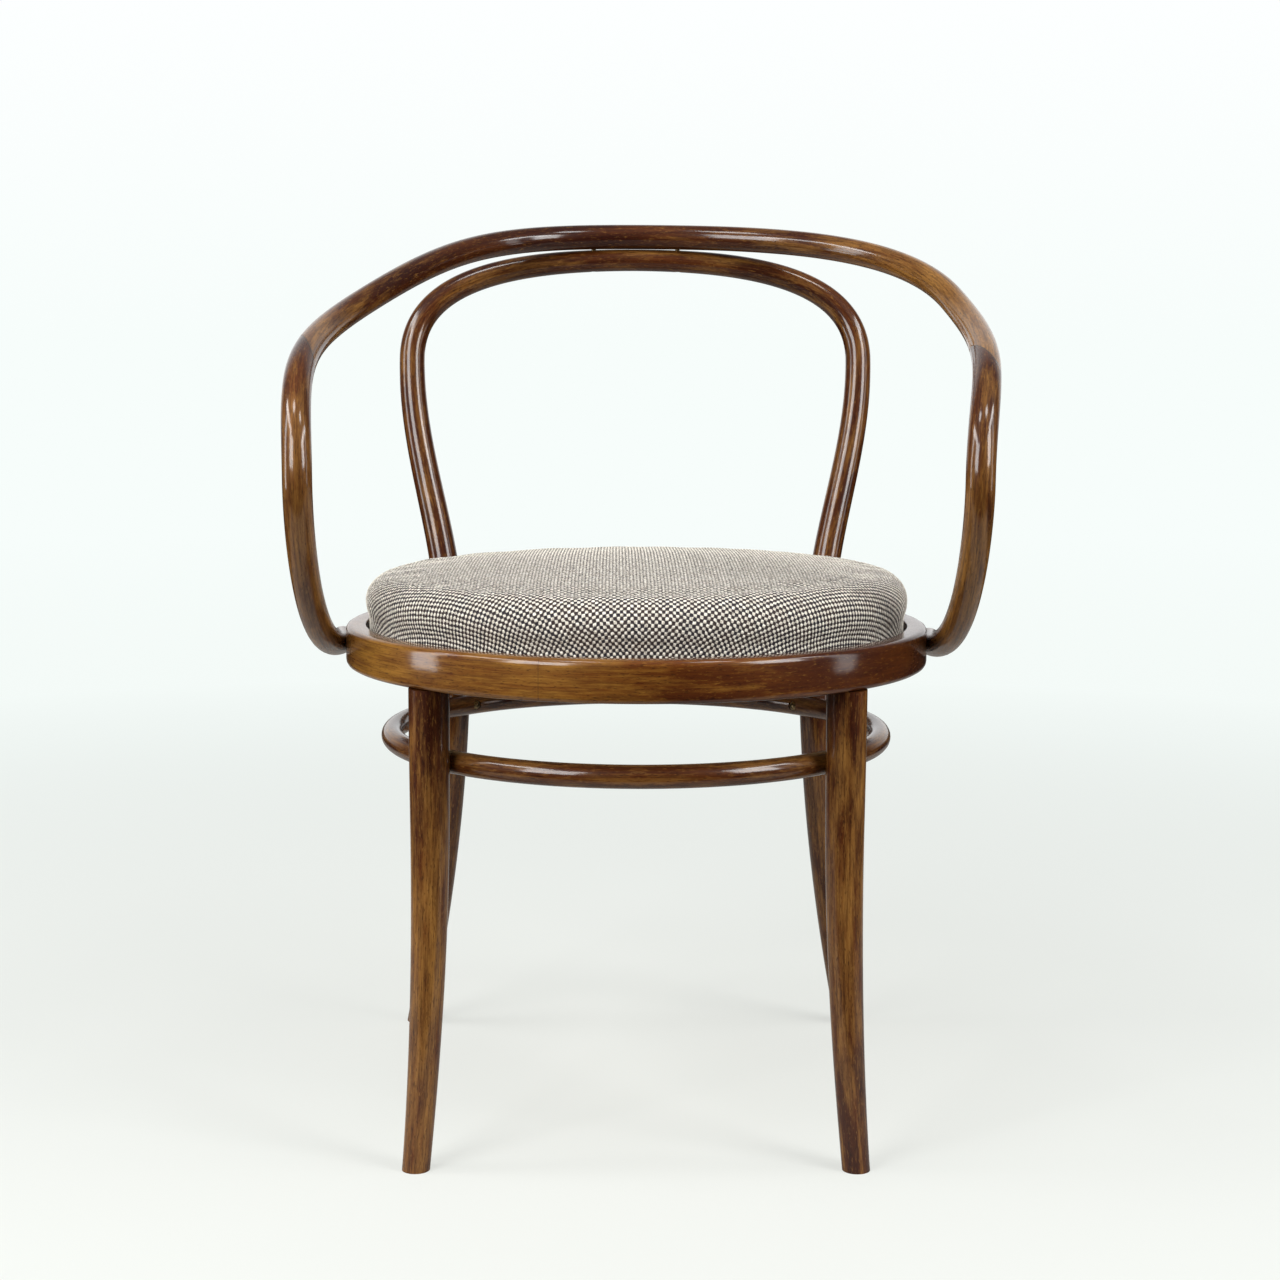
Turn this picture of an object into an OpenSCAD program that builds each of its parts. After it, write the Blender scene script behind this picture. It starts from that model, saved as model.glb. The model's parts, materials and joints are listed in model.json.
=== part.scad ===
// Bentwood armchair with a round upholstered seat.
// Steam-bent beech rods make the back, the arms and the rear legs. A bent ring carries the seat,
// and a second, thinner hoop ties the four legs together below it.
// The front of the chair faces -Y and it stands on Z = 0.

/* [Seat ring] */
// Outer diameter of the seat ring
seat_d = 470; // [440:1:500]
// Height of the seat ring's top above the floor
seat_h = 402; // [380:1:420]
// Height of the ring's section
ring_h = 32; // [26:1:38]
// Thickness of the ring's section, measured from the outside inwards
ring_t = 24; // [21:0.5:30]
// Depth of the rebate that the seat board drops into
rebate_h = 10; // [8:0.5:14]
// Width of the ledge that carries the seat board
ledge_w = 8; // [6:0.5:12]
// Radius of the ring's rounded outer edges
ring_edge_r = 4; // [2:0.5:6]

/* [Upholstered seat] */
// Diameter of the plywood seat board
board_d = 429; // [400:1:431]
// Thickness of the seat board
board_t = 9; // [6:0.5:12]
// Height of the cushion's crown above the top of the board
crown_h = 51; // [44:1:60]
// Height of the cushion's rounded rim above the top of the board
rim_h = 43; // [30:1:44]
// How far the cushion's side swells out past the board
swell = 3; // [1:0.5:6]
// Radius of the rounding between the cushion's side and its top
rim_r = 24; // [14:1:28]
// Thickness of the woven cover
cover_t = 1.5; // [1:0.1:2.5]
// Width of the cover's hem under the board
hem_w = 12; // [11:0.5:13]
// Width of a staple's crown
staple_w = 10; // [8:0.5:12]
// Thickness of a staple's wire
staple_t = 1; // [0.8:0.1:1.4]
// Length of a staple's legs
staple_l = 7; // [5:0.5:8]
// How many staples hold the hem
staples = 16; // [12:1:24]

/* [Crest rail and arms] */
// Diameter of the crest rail and arms
bow_d = 22; // [19:0.5:25]
// Height of the crest rail's centre line above the floor
crest_h = 721; // [700:1:745]
// Distance of the crest rail's centre line behind the seat's centre
crest_back = 248; // [238:1:258]
// Width of the bow at its shoulders, centre line to centre line
shoulder_w = 476; // [450:1:500]
// How far the hand-bent bow sways to the sitter's left at its shoulders
shoulder_sway = 21; // [0:1:30]
// Height of the shoulders' centre line above the floor
shoulder_h = 664; // [645:1:680]
// Distance of the shoulders behind the seat's centre
shoulder_back = 56; // [40:1:70]
// Width over the arms' centre lines at the front bend
arm_w = 498; // [492:1:514]
// Distance of the front bend ahead of the seat's centre
arm_front = 183; // [165:1:195]
// Height of the foremost point of the arms
arm_front_h = 527; // [510:1:545]
// Height of the arm's end, where it lies along the seat ring
arm_end_h = 383; // [381:0.5:388]
// Distance of the arm's end behind the seat's centre
arm_end_back = 34; // [20:1:45]
// How deep the arm's end is flattened against the seat ring
arm_lap = 2.5; // [1:0.5:4]
// Length of the rounding on the arm's free end
arm_end_r = 8; // [5:0.5:11]
// Length of the scarf joints between the crest rail and the arms
scarf_l = 55; // [30:1:70]

/* [Back frame] */
// How far the inner loop's top is set back behind the crest rail
loop_set_back = 3; // [0:0.5:8]
// Width of the loop at its widest, centre line to centre line
loop_w = 402; // [380:1:420]
// Height of the loop's widest point
loop_wide_h = 612; // [595:1:625]
// Diameter of the loop at its top
loop_d = 19.5; // [18:0.5:21]
// Diameter of the back frame where it passes the seat ring
back_leg_d = 26; // [23:0.5:29]
// Diameter of the rear legs at the hoop
back_leg_hoop_d = 28; // [25:0.5:31]
// Diameter of the rear legs at the floor
back_foot_d = 21; // [18:0.5:24]
// Spacing of the rear legs where they pass the seat ring, centre line to centre line
back_leg_w = 330; // [320:1:340]
// Distance of the rear legs behind the seat's centre where they pass the seat ring
back_leg_back = 171; // [169:0.5:173]
// Spacing of the rear legs at the hoop, centre line to centre line
back_leg_hoop_w = 320; // [312:1:328]
// Spacing of the rear feet, centre to centre
back_foot_w = 398; // [380:1:415]
// Distance of the rear feet behind the seat's centre
back_foot_back = 218; // [200:1:232]
// Depth of the housing in the seat ring that takes each rear leg
housing_deep = 6; // [3:0.5:8]

/* [Front legs and hoop] */
// Diameter of the front legs under the seat ring
front_leg_d = 31; // [28:0.5:34]
// Diameter of the front legs at the floor
front_foot_d = 21.5; // [18:0.5:25]
// How far the front feet flare out from the line of the leg
front_flare = 16.5; // [5:0.5:22]
// Height over which the front legs flare
flare_h = 270; // [150:5:320]
// Diameter of the round tenon on top of each front leg
tenon_d = 16; // [12:0.5:17]
// Length of the tenon
tenon_l = 16; // [12:1:18]
// Diameter of the stretcher hoop, centre line to centre line
hoop_w = 397; // [380:1:405]
// Diameter of the hoop's rod
hoop_d = 18; // [16:0.5:20]
// Height of the hoop's centre line above the floor
hoop_h = 311; // [290:1:325]
// How deep the hoop is let into each leg
hoop_seat = 1.5; // [0.5:0.5:3]

/* [Fasteners and blocks] */
// Diameter of the bolts through the rear legs
bolt_d = 6; // [5:0.5:7]
// Diameter of the bolts' round heads
bolt_head_d = 14; // [12:0.5:16]
// Height of the bolts' round heads
bolt_head_h = 4; // [3:0.5:5]
// Thickness of the washers
washer_t = 1.5; // [1:0.1:2]
// Diameter of the washers
washer_d = 16; // [14:0.5:18]
// Height of the nuts
nut_h = 5; // [4:0.5:6]
// Width of the nuts across flats
nut_af = 10; // [9:0.5:11]
// Diameter of the wood screws
screw_d = 4; // [3:0.5:4.5]
// Diameter of the wood screws' heads
screw_head_d = 8; // [7:0.5:9]
// Height of the wood screws' heads
screw_head_h = 2.5; // [2:0.1:3]
// Length of the screws through the ring into the arms
arm_screw_l = 36; // [32:1:38]
// Length of the screws through the hoop into the legs
hoop_screw_l = 32; // [26:1:34]
// Length of the screws through the loop into the crest rail
crest_screw_l = 34; // [30:1:36]
// Length of the screws through the blocks into the seat board
seat_screw_l = 25; // [23:0.5:26]
// Length of the screws through the corner blocks into the ring
block_screw_l = 36; // [30:1:40]
// Length of a corner block along the ring
block_l = 70; // [50:1:80]
// Thickness of a corner block
block_t = 22; // [18:1:26]
// Height of a corner block
block_h = 18; // [14:1:20]

/* [Hidden] */

$fn = 96;
over = 1;
glue = 0.1;
hole_gap = 0.1;
soft_gap = 0.3;

ring_r = seat_d / 2;
ring_in = ring_r - ring_t;
ledge_z = seat_h - rebate_h;
ring_z = seat_h - ring_h;
board_z = ledge_z + cover_t + soft_gap;
board_top = board_z + board_t;
bow_r = bow_d / 2;
hoop_r = hoop_w / 2;
hoop_rod_r = hoop_d / 2;

function unit(v) = v / norm(v);
function turn(v, a) = [v.x * cos(a) - v.y * sin(a), v.x * sin(a) + v.y * cos(a), v.z];
function bezier(p, t) =
    p[0] * pow(1 - t, 3) + 3 * p[1] * t * pow(1 - t, 2) + 3 * p[2] * t * t * (1 - t) + p[3] * pow(t, 3);
// A curve from a to b that leaves a along da and reaches b along db
function bend(a, da, b, db) = [a, a + da, b - db, b];
function along(p, n) = [for (i = [0 : n - 1]) bezier(p, i / n)];
function reversed(v) = [for (i = [len(v) - 1 : -1 : 0]) v[i]];

// Value of a list at a place between two of its entries
function at(v, u) =
    let (i = max(0, min(len(v) - 2, floor(u))))
    v[i] + (u - i) * (v[i + 1] - v[i]);
function tangents(v) =
    [for (i = [0 : len(v) - 1]) unit(v[min(i + 1, len(v) - 1)] - v[max(i - 1, 0)])];
// Normals carried along the line, so that the section doesn't twist
function square_to(n, t) = unit(n - (n * t) * t);
function normals(t, first) =
    [for (i = 0, n = square_to(first, t[0]); i < len(t);
          i = i + 1, n = square_to(n, t[min(i, len(t) - 1)])) n];

// Faces of a skin of rings, each with the same number of sides, closed by a fan at both ends
function skin(rings, sides) =
    let (last = (rings - 1) * sides, c0 = rings * sides, c1 = c0 + 1)
    concat([for (i = [0 : rings - 2], j = [0 : sides - 1], half = [0, 1])
                let (k = (j + 1) % sides, a = i * sides, b = a + sides)
                half == 0 ? [a + j, b + j, a + k] : [a + k, b + j, b + k]],
           [for (j = [0 : sides - 1]) [c0, j, (j + 1) % sides]],
           [for (j = [0 : sides - 1]) [c1, last + (j + 1) % sides, last + j]]);

// A round rod along a line, from place u[0] to the last place in u, with the radius radii[i]
// at ring i. slant[i] shears ring i along the line, in places for each millimetre off the axis.
rod_sides = 16;
module rod(line, first_normal, u, radii, slant) {
    t = tangents(line);
    n = normals(t, first_normal);
    points = [for (i = [0 : len(u) - 1], j = [0 : rod_sides - 1])
        let (a = 360 * j / rod_sides, w = u[i] + slant[i] * radii[i] * cos(a), m = at(n, w))
        at(line, w) + radii[i] * (cos(a) * m + sin(a) * cross(at(t, w), m))];
    ends = [at(line, u[0]), at(line, u[len(u) - 1])];
    polyhedron(concat(points, ends), skin(len(u), rod_sides), convexity = 6);
}

// The bow is one line from the end of the left arm over the crest to the end of the right arm
crest_pull = 129;
shoulder_pull = 126;
front_pull = 86;
front_low_pull = 38;
arm_end_pull = 128;
shoulder_turn_share = 0.4;
sway_turn_share = 0.17;
rail_fall_share = 0.43;
arm_end_turn_share = 0.11;
arm_end_rise_share = 0.05;
crest_steps = 26;
side_steps = 24;
arm_steps = 24;
half_steps = crest_steps + side_steps + arm_steps;
scarf_step = crest_steps + 11;
scarf_blend = 9;

arm_end_r_out = ring_r + bow_r - arm_lap;
function arm_end_at(side) =
    [side * sqrt(pow(arm_end_r_out, 2) - pow(arm_end_back, 2)), arm_end_back, arm_end_h];
function bow_half(side) =
    let (crest = [0, crest_back, crest_h],
         shoulder = [side * shoulder_w / 2 + shoulder_sway, shoulder_back, shoulder_h],
         shoulder_dir = unit([side * shoulder_turn_share - sway_turn_share, -1, -rail_fall_share]),
         front = [side * arm_w / 2, -arm_front, arm_front_h],
         end = arm_end_at(side),
         end_dir = unit([-side * arm_end_turn_share, 1, arm_end_rise_share]))
    concat(along(bend(crest, side * crest_pull * [1, 0, 0],
                      shoulder, shoulder_pull * shoulder_dir), crest_steps),
           along(bend(shoulder, shoulder_pull * shoulder_dir,
                      front, front_pull * [0, 0, -1]), side_steps),
           along(bend(front, front_low_pull * [0, 0, -1],
                      end, arm_end_pull * end_dir), arm_steps),
           [end]);
bow_right = bow_half(1);
bow = concat(reversed(bow_half(-1)), [for (i = [1 : half_steps]) bow_right[i]]);

// The whole chair is moved so that the middle of its width and length lies over the origin
length_mid = (crest_back + bow_r - ring_r) / 2;
width_mid = (max([for (p = bow) p.x]) + min([for (p = bow) p.x])) / 2;
module placed() { translate([-width_mid, -length_mid, 0]) children(); }
bow_last = 2 * half_steps;
bow_normal = [0, 1, 0];
function step_at(u) = norm(bow[floor(u)] - bow[floor(u) - 1]);
// Shear of the rings on either side of a scarf joint, fading out over a few rings
function scarf_slant(u, scarf) =
    scarf_l / bow_d / step_at(scarf) * max(0, 1 - abs(u - scarf) / scarf_blend);

module bow_part(from, to) {
    u = [for (i = [from : to]) i];
    rod(bow, bow_normal, u, [for (i = u) bow_r],
        [for (i = u) abs(i - from) < abs(i - to) ? scarf_slant(i, from) : scarf_slant(i, to)]);
}

// The arm's free end is rounded over its last few millimetres
end_shares = [0, 0.12, 0.3, 0.6];
function end_round(share) = sqrt(1 - pow(1 - max(share, 0.12), 2));
module arm_rod(side) {
    end_step = norm(bow_right[half_steps] - bow_right[half_steps - 1]);
    ends = [for (s = end_shares) s * arm_end_r / end_step];
    out = concat(ends, [for (i = [1 : half_steps - scarf_step]) i]);
    radii = concat([for (s = end_shares) bow_r * end_round(s)],
                   [for (i = [1 : half_steps - scarf_step]) bow_r]);
    scarf = side > 0 ? half_steps + scarf_step : half_steps - scarf_step;
    u = side > 0 ? reversed([for (i = out) bow_last - i]) : out;
    rod(bow, bow_normal, u, side > 0 ? reversed(radii) : radii,
        [for (i = u) scarf_slant(i, scarf)]);
}

// The back frame is one rod: up one rear leg, round the loop and down the other leg
loop_h = crest_h - sqrt(pow(bow_r + loop_d / 2 + glue, 2) - pow(loop_set_back, 2));
loop_back = crest_back + loop_set_back;
ring_mid_z = seat_h - ring_h / 2;
loop_top_pull = 112;
loop_wide_pull = 73;
loop_low_pull = 85;
seat_pull = 80;
stile_pull = 25;
leg_top_pull = 110;
foot_pull = 100;
foot_over = 10;
back_lean_share = (loop_back - back_leg_back) / (loop_h - ring_mid_z);
seat_turn_share = 0.05;
hoop_out_share = 0.03;
foot_out_share = 0.2;
foot_back_share = 0.33;
loop_steps = 22;
stile_steps = 20;
seat_steps = 7;
leg_steps = 25;
back_steps = loop_steps + stile_steps + seat_steps + leg_steps + 1;
// Distance from the seat's centre at which a leg of diameter d touches the hoop
function leg_reach(d) = hoop_r + hoop_rod_r + d / 2 - hoop_seat;
back_leg_hoop_back = sqrt(pow(leg_reach(back_leg_hoop_d), 2) - pow(back_leg_hoop_w / 2, 2));
function lean_at(z) = back_leg_back + (z - ring_mid_z) * back_lean_share;
function back_half(side) =
    let (top = [0, loop_back, loop_h],
         down = unit([0, -back_lean_share, -1]),
         wide = [side * loop_w / 2, lean_at(loop_wide_h), loop_wide_h],
         seat = [side * back_leg_w / 2, back_leg_back, ring_mid_z],
         seat_dir = unit([-side * seat_turn_share, -back_lean_share, -1]),
         knee = [side * back_leg_hoop_w / 2, back_leg_hoop_back, hoop_h],
         knee_dir = unit([side * hoop_out_share, hoop_out_share, -1]),
         foot = [side * back_foot_w / 2, back_foot_back, 0],
         foot_dir = unit([side * foot_out_share, foot_back_share, -1]))
    concat(along(bend(top, side * loop_top_pull * [1, 0, 0], wide, loop_wide_pull * down), loop_steps),
           along(bend(wide, loop_low_pull * down, seat, seat_pull * seat_dir), stile_steps),
           along(bend(seat, stile_pull * seat_dir, knee, stile_pull * knee_dir), seat_steps),
           along(bend(knee, leg_top_pull * knee_dir, foot, foot_pull * foot_dir), leg_steps),
           [foot, foot + foot_over * foot_dir]);
back_right = back_half(1);
back = concat(reversed(back_half(-1)), [for (i = [1 : back_steps]) back_right[i]]);
knee_step = loop_steps + stile_steps + seat_steps;
// Diameters of the back frame by place, counted from the top of the loop
back_sizes = [[0, loop_d], [loop_steps, (loop_d + back_leg_d) / 2],
              [loop_steps + stile_steps, back_leg_d], [knee_step, back_leg_hoop_d],
              [knee_step + leg_steps / 2, (back_leg_hoop_d + back_foot_d) / 2],
              [back_steps, back_foot_d]];

// Turns children to face outwards from the seat's centre at an angle, at a height
module outward(angle, z) { rotate([0, 0, angle]) translate([0, 0, z]) rotate([0, 90, 0]) children(); }
module below_floor() {
    wide = 3 * seat_d;
    translate([-wide / 2, -wide / 2, -2 * foot_over]) cube([wide, wide, 2 * foot_over]);
}
module hoop_ring(grow = 0) {
    translate([0, 0, hoop_h]) rotate_extrude() translate([hoop_r, 0]) circle(r = hoop_rod_r + grow);
}

// Angles round the seat, from the sitter's left hand side at 0
front_angle = -45;
back_seat_angle = atan2(back_leg_back, back_leg_w / 2);
back_hoop_angle = atan2(back_leg_hoop_back, back_leg_hoop_w / 2);
function both(a) = [a, 180 - a];
housing_r = ring_r - housing_deep;
housing_gap = 1.5;

// Seat ring: a bent beech ring with a rebate for the seat board, two housings for the rear legs,
// two sockets for the front legs, and holes for the bolts and screws
module ring_section() {
    e = ring_edge_r;
    difference() {
        union() {
            translate([ring_in, ring_z]) square([ring_t - e, ring_h]);
            translate([ring_in, ring_z + e]) square([ring_t, ring_h - 2 * e]);
            translate([ring_r - e, ring_z + e]) circle(r = e);
            translate([ring_r - e, seat_h - e]) circle(r = e);
        }
        translate([ring_in - over, ledge_z]) square([ledge_w + over, rebate_h + over]);
    }
}
front_leg_reach = leg_reach(front_leg_d);
module at_front_legs() for (a = both(front_angle)) rotate([0, 0, a]) translate([front_leg_reach, 0, 0]) children();
module leg_housings(grow) {
    for (a = both(back_seat_angle)) rotate([0, 0, a])
        translate([housing_r, -back_leg_d / 2 - grow, ring_z - over])
            cube([ring_t, back_leg_d + 2 * grow, ring_h + 2 * over]);
}
module seat_ring() {
    color("#4a230f") placed() difference() {
        rotate_extrude() ring_section();
        leg_housings(housing_gap);
        at_front_legs() translate([0, 0, ring_z - over])
            cylinder(d = tenon_d + 2 * hole_gap, h = tenon_l + over + glue);
        bolt_holes();
        arm_screw_holes();
        block_screw_holes();
    }
}

// Front legs: turned beech, straight below the ring and flared at the foot
front_leg_steps = 26;
function front_leg_line(a) =
    [for (i = [0 : front_leg_steps])
        let (z = ring_z + (-foot_over - ring_z) * i / front_leg_steps,
             out = front_leg_reach + front_flare * pow(max(0, 1 - z / flare_h), 2))
        [out * cos(a), out * sin(a), z]];
leg_swell_share = 1.2;
module front_leg(a) {
    line = front_leg_line(a);
    places = [for (i = [0 : front_leg_steps]) i];
    radii = [for (p = line)
        front_foot_d / 2 + (front_leg_d - front_foot_d) / 2
            * pow(sin(90 * max(0, p.z) / ring_z), leg_swell_share)];
    placed() difference() {
        union() {
            rod(line, [1, 0, 0], places, radii, [for (i = places) 0]);
            translate([front_leg_reach * cos(a), front_leg_reach * sin(a), ring_z - over])
                cylinder(d = tenon_d, h = tenon_l + over);
        }
        hoop_ring(glue);
        below_floor();
        hoop_screw_holes();
    }
}
module front_leg_left() { color("#5b3013") front_leg(front_angle); }
module front_leg_right() { color("#5b3013") front_leg(180 - front_angle); }

module back_frame() {
    places = [for (i = [0 : 2 * back_steps]) i];
    color("#532911") placed() difference() {
        rod(back, [0, 1, 0], places, [for (i = places) lookup(abs(i - back_steps), back_sizes) / 2],
            [for (i = places) 0]);
        for (a = both(back_seat_angle)) rotate([0, 0, a])
            translate([housing_r - ring_t, -ring_t, ring_z - glue])
                cube([ring_t + glue, 2 * ring_t, ring_h + 2 * glue]);
        hoop_ring(glue);
        below_floor();
        bolt_holes();
        hoop_screw_holes();
        crest_screw_holes();
    }
}

module crest_rail() {
    color("#5b3013") placed() difference() {
        bow_part(half_steps - scarf_step, half_steps + scarf_step);
        crest_screw_holes();
    }
}
module arm(side) {
    placed() difference() {
        arm_rod(side);
        translate([0, 0, ring_z - over]) cylinder(r = ring_r + glue, h = ring_h + bow_d, $fn = 256);
        arm_screw_holes();
    }
}
module left_arm() { color("#5b3013") arm(1); }
module right_arm() { color("#5b3013") arm(-1); }

module stretcher_hoop() {
    color("#4a230f") placed() difference() {
        hoop_ring();
        hoop_screw_holes();
    }
}

// Corner blocks: glued and screwed to the inside of the ring, level with its ledge
block_drop = 2;
block_top = ledge_z - block_drop;
block_z = block_top - block_h;
block_in = ring_in - block_t;
block_mid_z = block_z + block_h / 2;
block_screw_out = block_l / 2 - block_t / 2;
seat_screw_in = block_in + block_t / 3;
seat_screw_side = block_l / 6;
block_angles = [front_angle, 180 - front_angle, back_seat_angle, 180 - back_seat_angle];
module corner_block(a) {
    color("#c9a06a") placed() difference() {
        intersection() {
            translate([0, 0, block_z]) cylinder(r = ring_in - glue, h = block_h);
            rotate([0, 0, a]) translate([block_in, -block_l / 2, block_z]) cube([block_t, block_l, block_h]);
        }
        bolt_holes();
        block_screw_holes();
        seat_screw_holes();
    }
}
module corner_block_front_left() { corner_block(block_angles[0]); }
module corner_block_front_right() { corner_block(block_angles[1]); }
module corner_block_rear_left() { corner_block(block_angles[2]); }
module corner_block_rear_right() { corner_block(block_angles[3]); }

// Upholstered seat: a plywood board, a shaped foam pad and a woven cover pulled round both
cushion_points = 9;
function cushion_edge(inset) =
    let (foot = [board_d / 2 + cover_t - inset, board_z],
         side = [board_d / 2 + cover_t + swell - inset, board_top + rim_h - rim_r],
         rim = [board_d / 2 + cover_t + swell - rim_r, board_top + rim_h - inset],
         top = [0, board_top + crown_h - inset],
         up = (rim_h - rim_r) / 2 * [0, 1],
         round_up = rim_r / 2 * [0, 1],
         round_in = rim_r / 2 * [-1, 0],
         crown = rim.x / 2 * [-1, 0])
    concat([foot + [0, cover_t]],
           along(bend([foot.x, board_top], up, side, up), 4),
           along(bend(side, round_up, rim, round_in), cushion_points),
           along(bend(rim, crown + [0, (crown_h - rim_h) / 2], top, crown), cushion_points),
           [top]);
module seat_board() {
    color("#d8b98a") placed() difference() {
        translate([0, 0, board_z]) cylinder(d = board_d, h = board_t);
        seat_screw_holes();
        staple_places() staple(hole_gap / 2);
    }
}
module seat_foam() {
    inset = cover_t + soft_gap;
    edge = [for (p = cushion_edge(inset)) if (p.y > board_top + soft_gap) p];
    foot_r = board_d / 2 - soft_gap;
    color("#e8dfae") placed() rotate_extrude()
        polygon(concat([[0, board_top + soft_gap], [foot_r, board_top + soft_gap]], edge));
}
hem_in = board_d / 2 - hem_w;
hem_z = board_z - soft_gap / 2;
module seat_cover() {
    outside = concat([[hem_in, hem_z - cover_t], [board_d / 2 + cover_t, hem_z - cover_t]],
                     cushion_edge(0));
    inside = concat([[0, board_top + crown_h - cover_t]], reversed(cushion_edge(cover_t)),
                    [[board_d / 2 + soft_gap / 2, board_top], [board_d / 2 + soft_gap / 2, hem_z],
                     [hem_in, hem_z]]);
    color("#8c8378") placed() difference() {
        rotate_extrude() polygon(concat(outside, inside));
        staple_places() staple(hole_gap / 2);
    }
}
module staple(grow) {
    leg = staple_t + 2 * grow;
    z = hem_z - cover_t - staple_t;
    for (s = [-1, 1])
        translate([-leg / 2, s * (staple_w - staple_t) / 2 - leg / 2, z])
            cube([leg, leg, staple_l + staple_t + grow]);
    translate([-leg / 2, -staple_w / 2 - grow, z - grow]) cube([leg, staple_w + 2 * grow, leg]);
}
module staple_places() {
    for (i = [0 : staples - 1])
        rotate([0, 0, 360 * (i + 0.5) / staples]) translate([(hem_in + ring_in) / 2, 0, 0]) children();
}
module cover_staples() { color("#b9bcc0") placed() staple_places() staple(0); }

// Bolts through the rear legs, the ring and the rear blocks
bolt_z = block_mid_z;
bolt_from = block_in - washer_t - nut_h - over;
bolt_head_sink = 3;
bolt_place_share = 0.04;
leg_at_bolt = at(back, back_steps + loop_steps + (1 + bolt_place_share) * stile_steps);
bolt_to = norm([leg_at_bolt.x, leg_at_bolt.y]) + back_leg_d / 2 - bolt_head_sink;
module bolt_holes() {
    for (a = both(back_seat_angle)) outward(a, bolt_z) {
        translate([0, 0, block_in - over]) cylinder(d = bolt_d + 2 * hole_gap, h = bolt_to - block_in + 2 * over);
        translate([0, 0, bolt_to]) cylinder(d = bolt_head_d + 2 * hole_gap, h = ring_t);
    }
}
module back_leg_bolts() {
    color("#6d6a63") placed() for (a = both(back_seat_angle)) outward(a, bolt_z) {
        translate([0, 0, bolt_from]) cylinder(d = bolt_d, h = bolt_to - bolt_from + over);
        translate([0, 0, bolt_to + glue]) round_head(bolt_head_d, bolt_head_h);
    }
}
module round_head(d, h) {
    r = (d * d / 4 + h * h) / (2 * h);
    intersection() {
        cylinder(d = d, h = h + over);
        translate([0, 0, h - r]) sphere(r = r);
    }
}
module back_leg_washers() {
    color("#a9abae") placed() for (a = both(back_seat_angle)) outward(a, bolt_z)
        translate([0, 0, block_in - glue - washer_t]) difference() {
            cylinder(d = washer_d, h = washer_t);
            translate([0, 0, -over]) cylinder(d = bolt_d + 4 * hole_gap, h = washer_t + 2 * over);
        }
}
module back_leg_nuts() {
    color("#a9abae") placed() for (a = both(back_seat_angle)) outward(a, bolt_z)
        translate([0, 0, block_in - 2 * glue - washer_t - nut_h]) difference() {
            cylinder(d = nut_af / cos(30), h = nut_h, $fn = 6);
            translate([0, 0, -over]) cylinder(d = bolt_d + 2 * hole_gap, h = nut_h + 2 * over);
        }
}

// Wood screws: a shank with a pointed tip, and a domed head with a cross recess.
// The head's underside is at the local origin and the shank runs along +Z.
tip_share = 0.2;
recess_share = 0.16;
module screw(l) {
    tip = l * tip_share;
    cylinder(d = screw_d, h = l - tip);
    translate([0, 0, l - tip]) cylinder(d1 = screw_d, d2 = screw_d * tip_share, h = tip);
    rotate([180, 0, 0]) difference() {
        round_head(screw_head_d, screw_head_h);
        for (q = [0, 90]) rotate([0, 0, q])
            translate([-screw_head_d / 4, -screw_head_d * recess_share / 2, screw_head_h / 2])
                cube([screw_head_d / 2, screw_head_d * recess_share, screw_head_h]);
    }
}
// The hole for a screw, with a flat for its head
module screw_hole(l) {
    translate([0, 0, -glue]) cylinder(d = screw_d + 2 * hole_gap, h = l + 2 * glue);
    translate([0, 0, -glue - bow_d]) cylinder(d = screw_head_d + 4 * hole_gap, h = bow_d);
}

// Two screws from inside the ring into each arm
arm_screw_steps = [1, 2.6];
module at_arm_screws() {
    for (side = [-1, 1], s = arm_screw_steps)
        let (p = at(bow, side > 0 ? bow_last - s : s))
            outward(atan2(p.y, p.x), p.z) translate([0, 0, ring_in]) children();
}
module arm_screw_holes() { at_arm_screws() screw_hole(arm_screw_l); }
module arm_screws() { color("#b08d4f") placed() at_arm_screws() screw(arm_screw_l); }

// One screw from inside the hoop into each leg
hoop_head_sink = 1.5;
module at_hoop_screws() {
    for (a = concat(both(front_angle), both(back_hoop_angle)))
        outward(a, hoop_h) translate([0, 0, hoop_r - hoop_rod_r + hoop_head_sink]) children();
}
module hoop_screw_holes() { at_hoop_screws() screw_hole(hoop_screw_l); }
module hoop_screws() { color("#8a8578") placed() at_hoop_screws() screw(hoop_screw_l); }

// Two screws from under the loop up into the crest rail
crest_screw_steps = 2.55;
crest_head_sink = 4;
module at_crest_screws() {
    for (side = [-1, 1])
        let (low = at(back, back_steps + side * crest_screw_steps),
             high = at(bow, half_steps + side * crest_screw_steps * loop_top_pull * crest_steps
                                 / (crest_pull * loop_steps)),
             up = unit([0, high.y - low.y, high.z - low.z]),
             start = low - (loop_d / 2 - crest_head_sink) * up)
            translate(start) rotate([-atan2(up.y, up.z), 0, 0]) children();
}
module crest_screw_holes() { at_crest_screws() screw_hole(crest_screw_l); }
module crest_screws() { color("#8a8578") placed() at_crest_screws() screw(crest_screw_l); }

// Two screws through each block into the ring
module at_block_screws() {
    for (a = block_angles, s = [-1, 1])
        rotate([0, 0, a]) translate([block_in, s * block_screw_out, block_mid_z]) rotate([0, 90, 0]) children();
}
module block_screw_holes() { at_block_screws() screw_hole(block_screw_l); }
module block_screws() { color("#b08d4f") placed() at_block_screws() screw(block_screw_l); }

// One screw up through each block into the seat board
module at_seat_screws() {
    for (a = block_angles) rotate([0, 0, a]) translate([seat_screw_in, seat_screw_side, block_z]) children();
}
module seat_screw_holes() { at_seat_screws() screw_hole(seat_screw_l); }
module seat_screws() { color("#b08d4f") placed() at_seat_screws() screw(seat_screw_l); }

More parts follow.
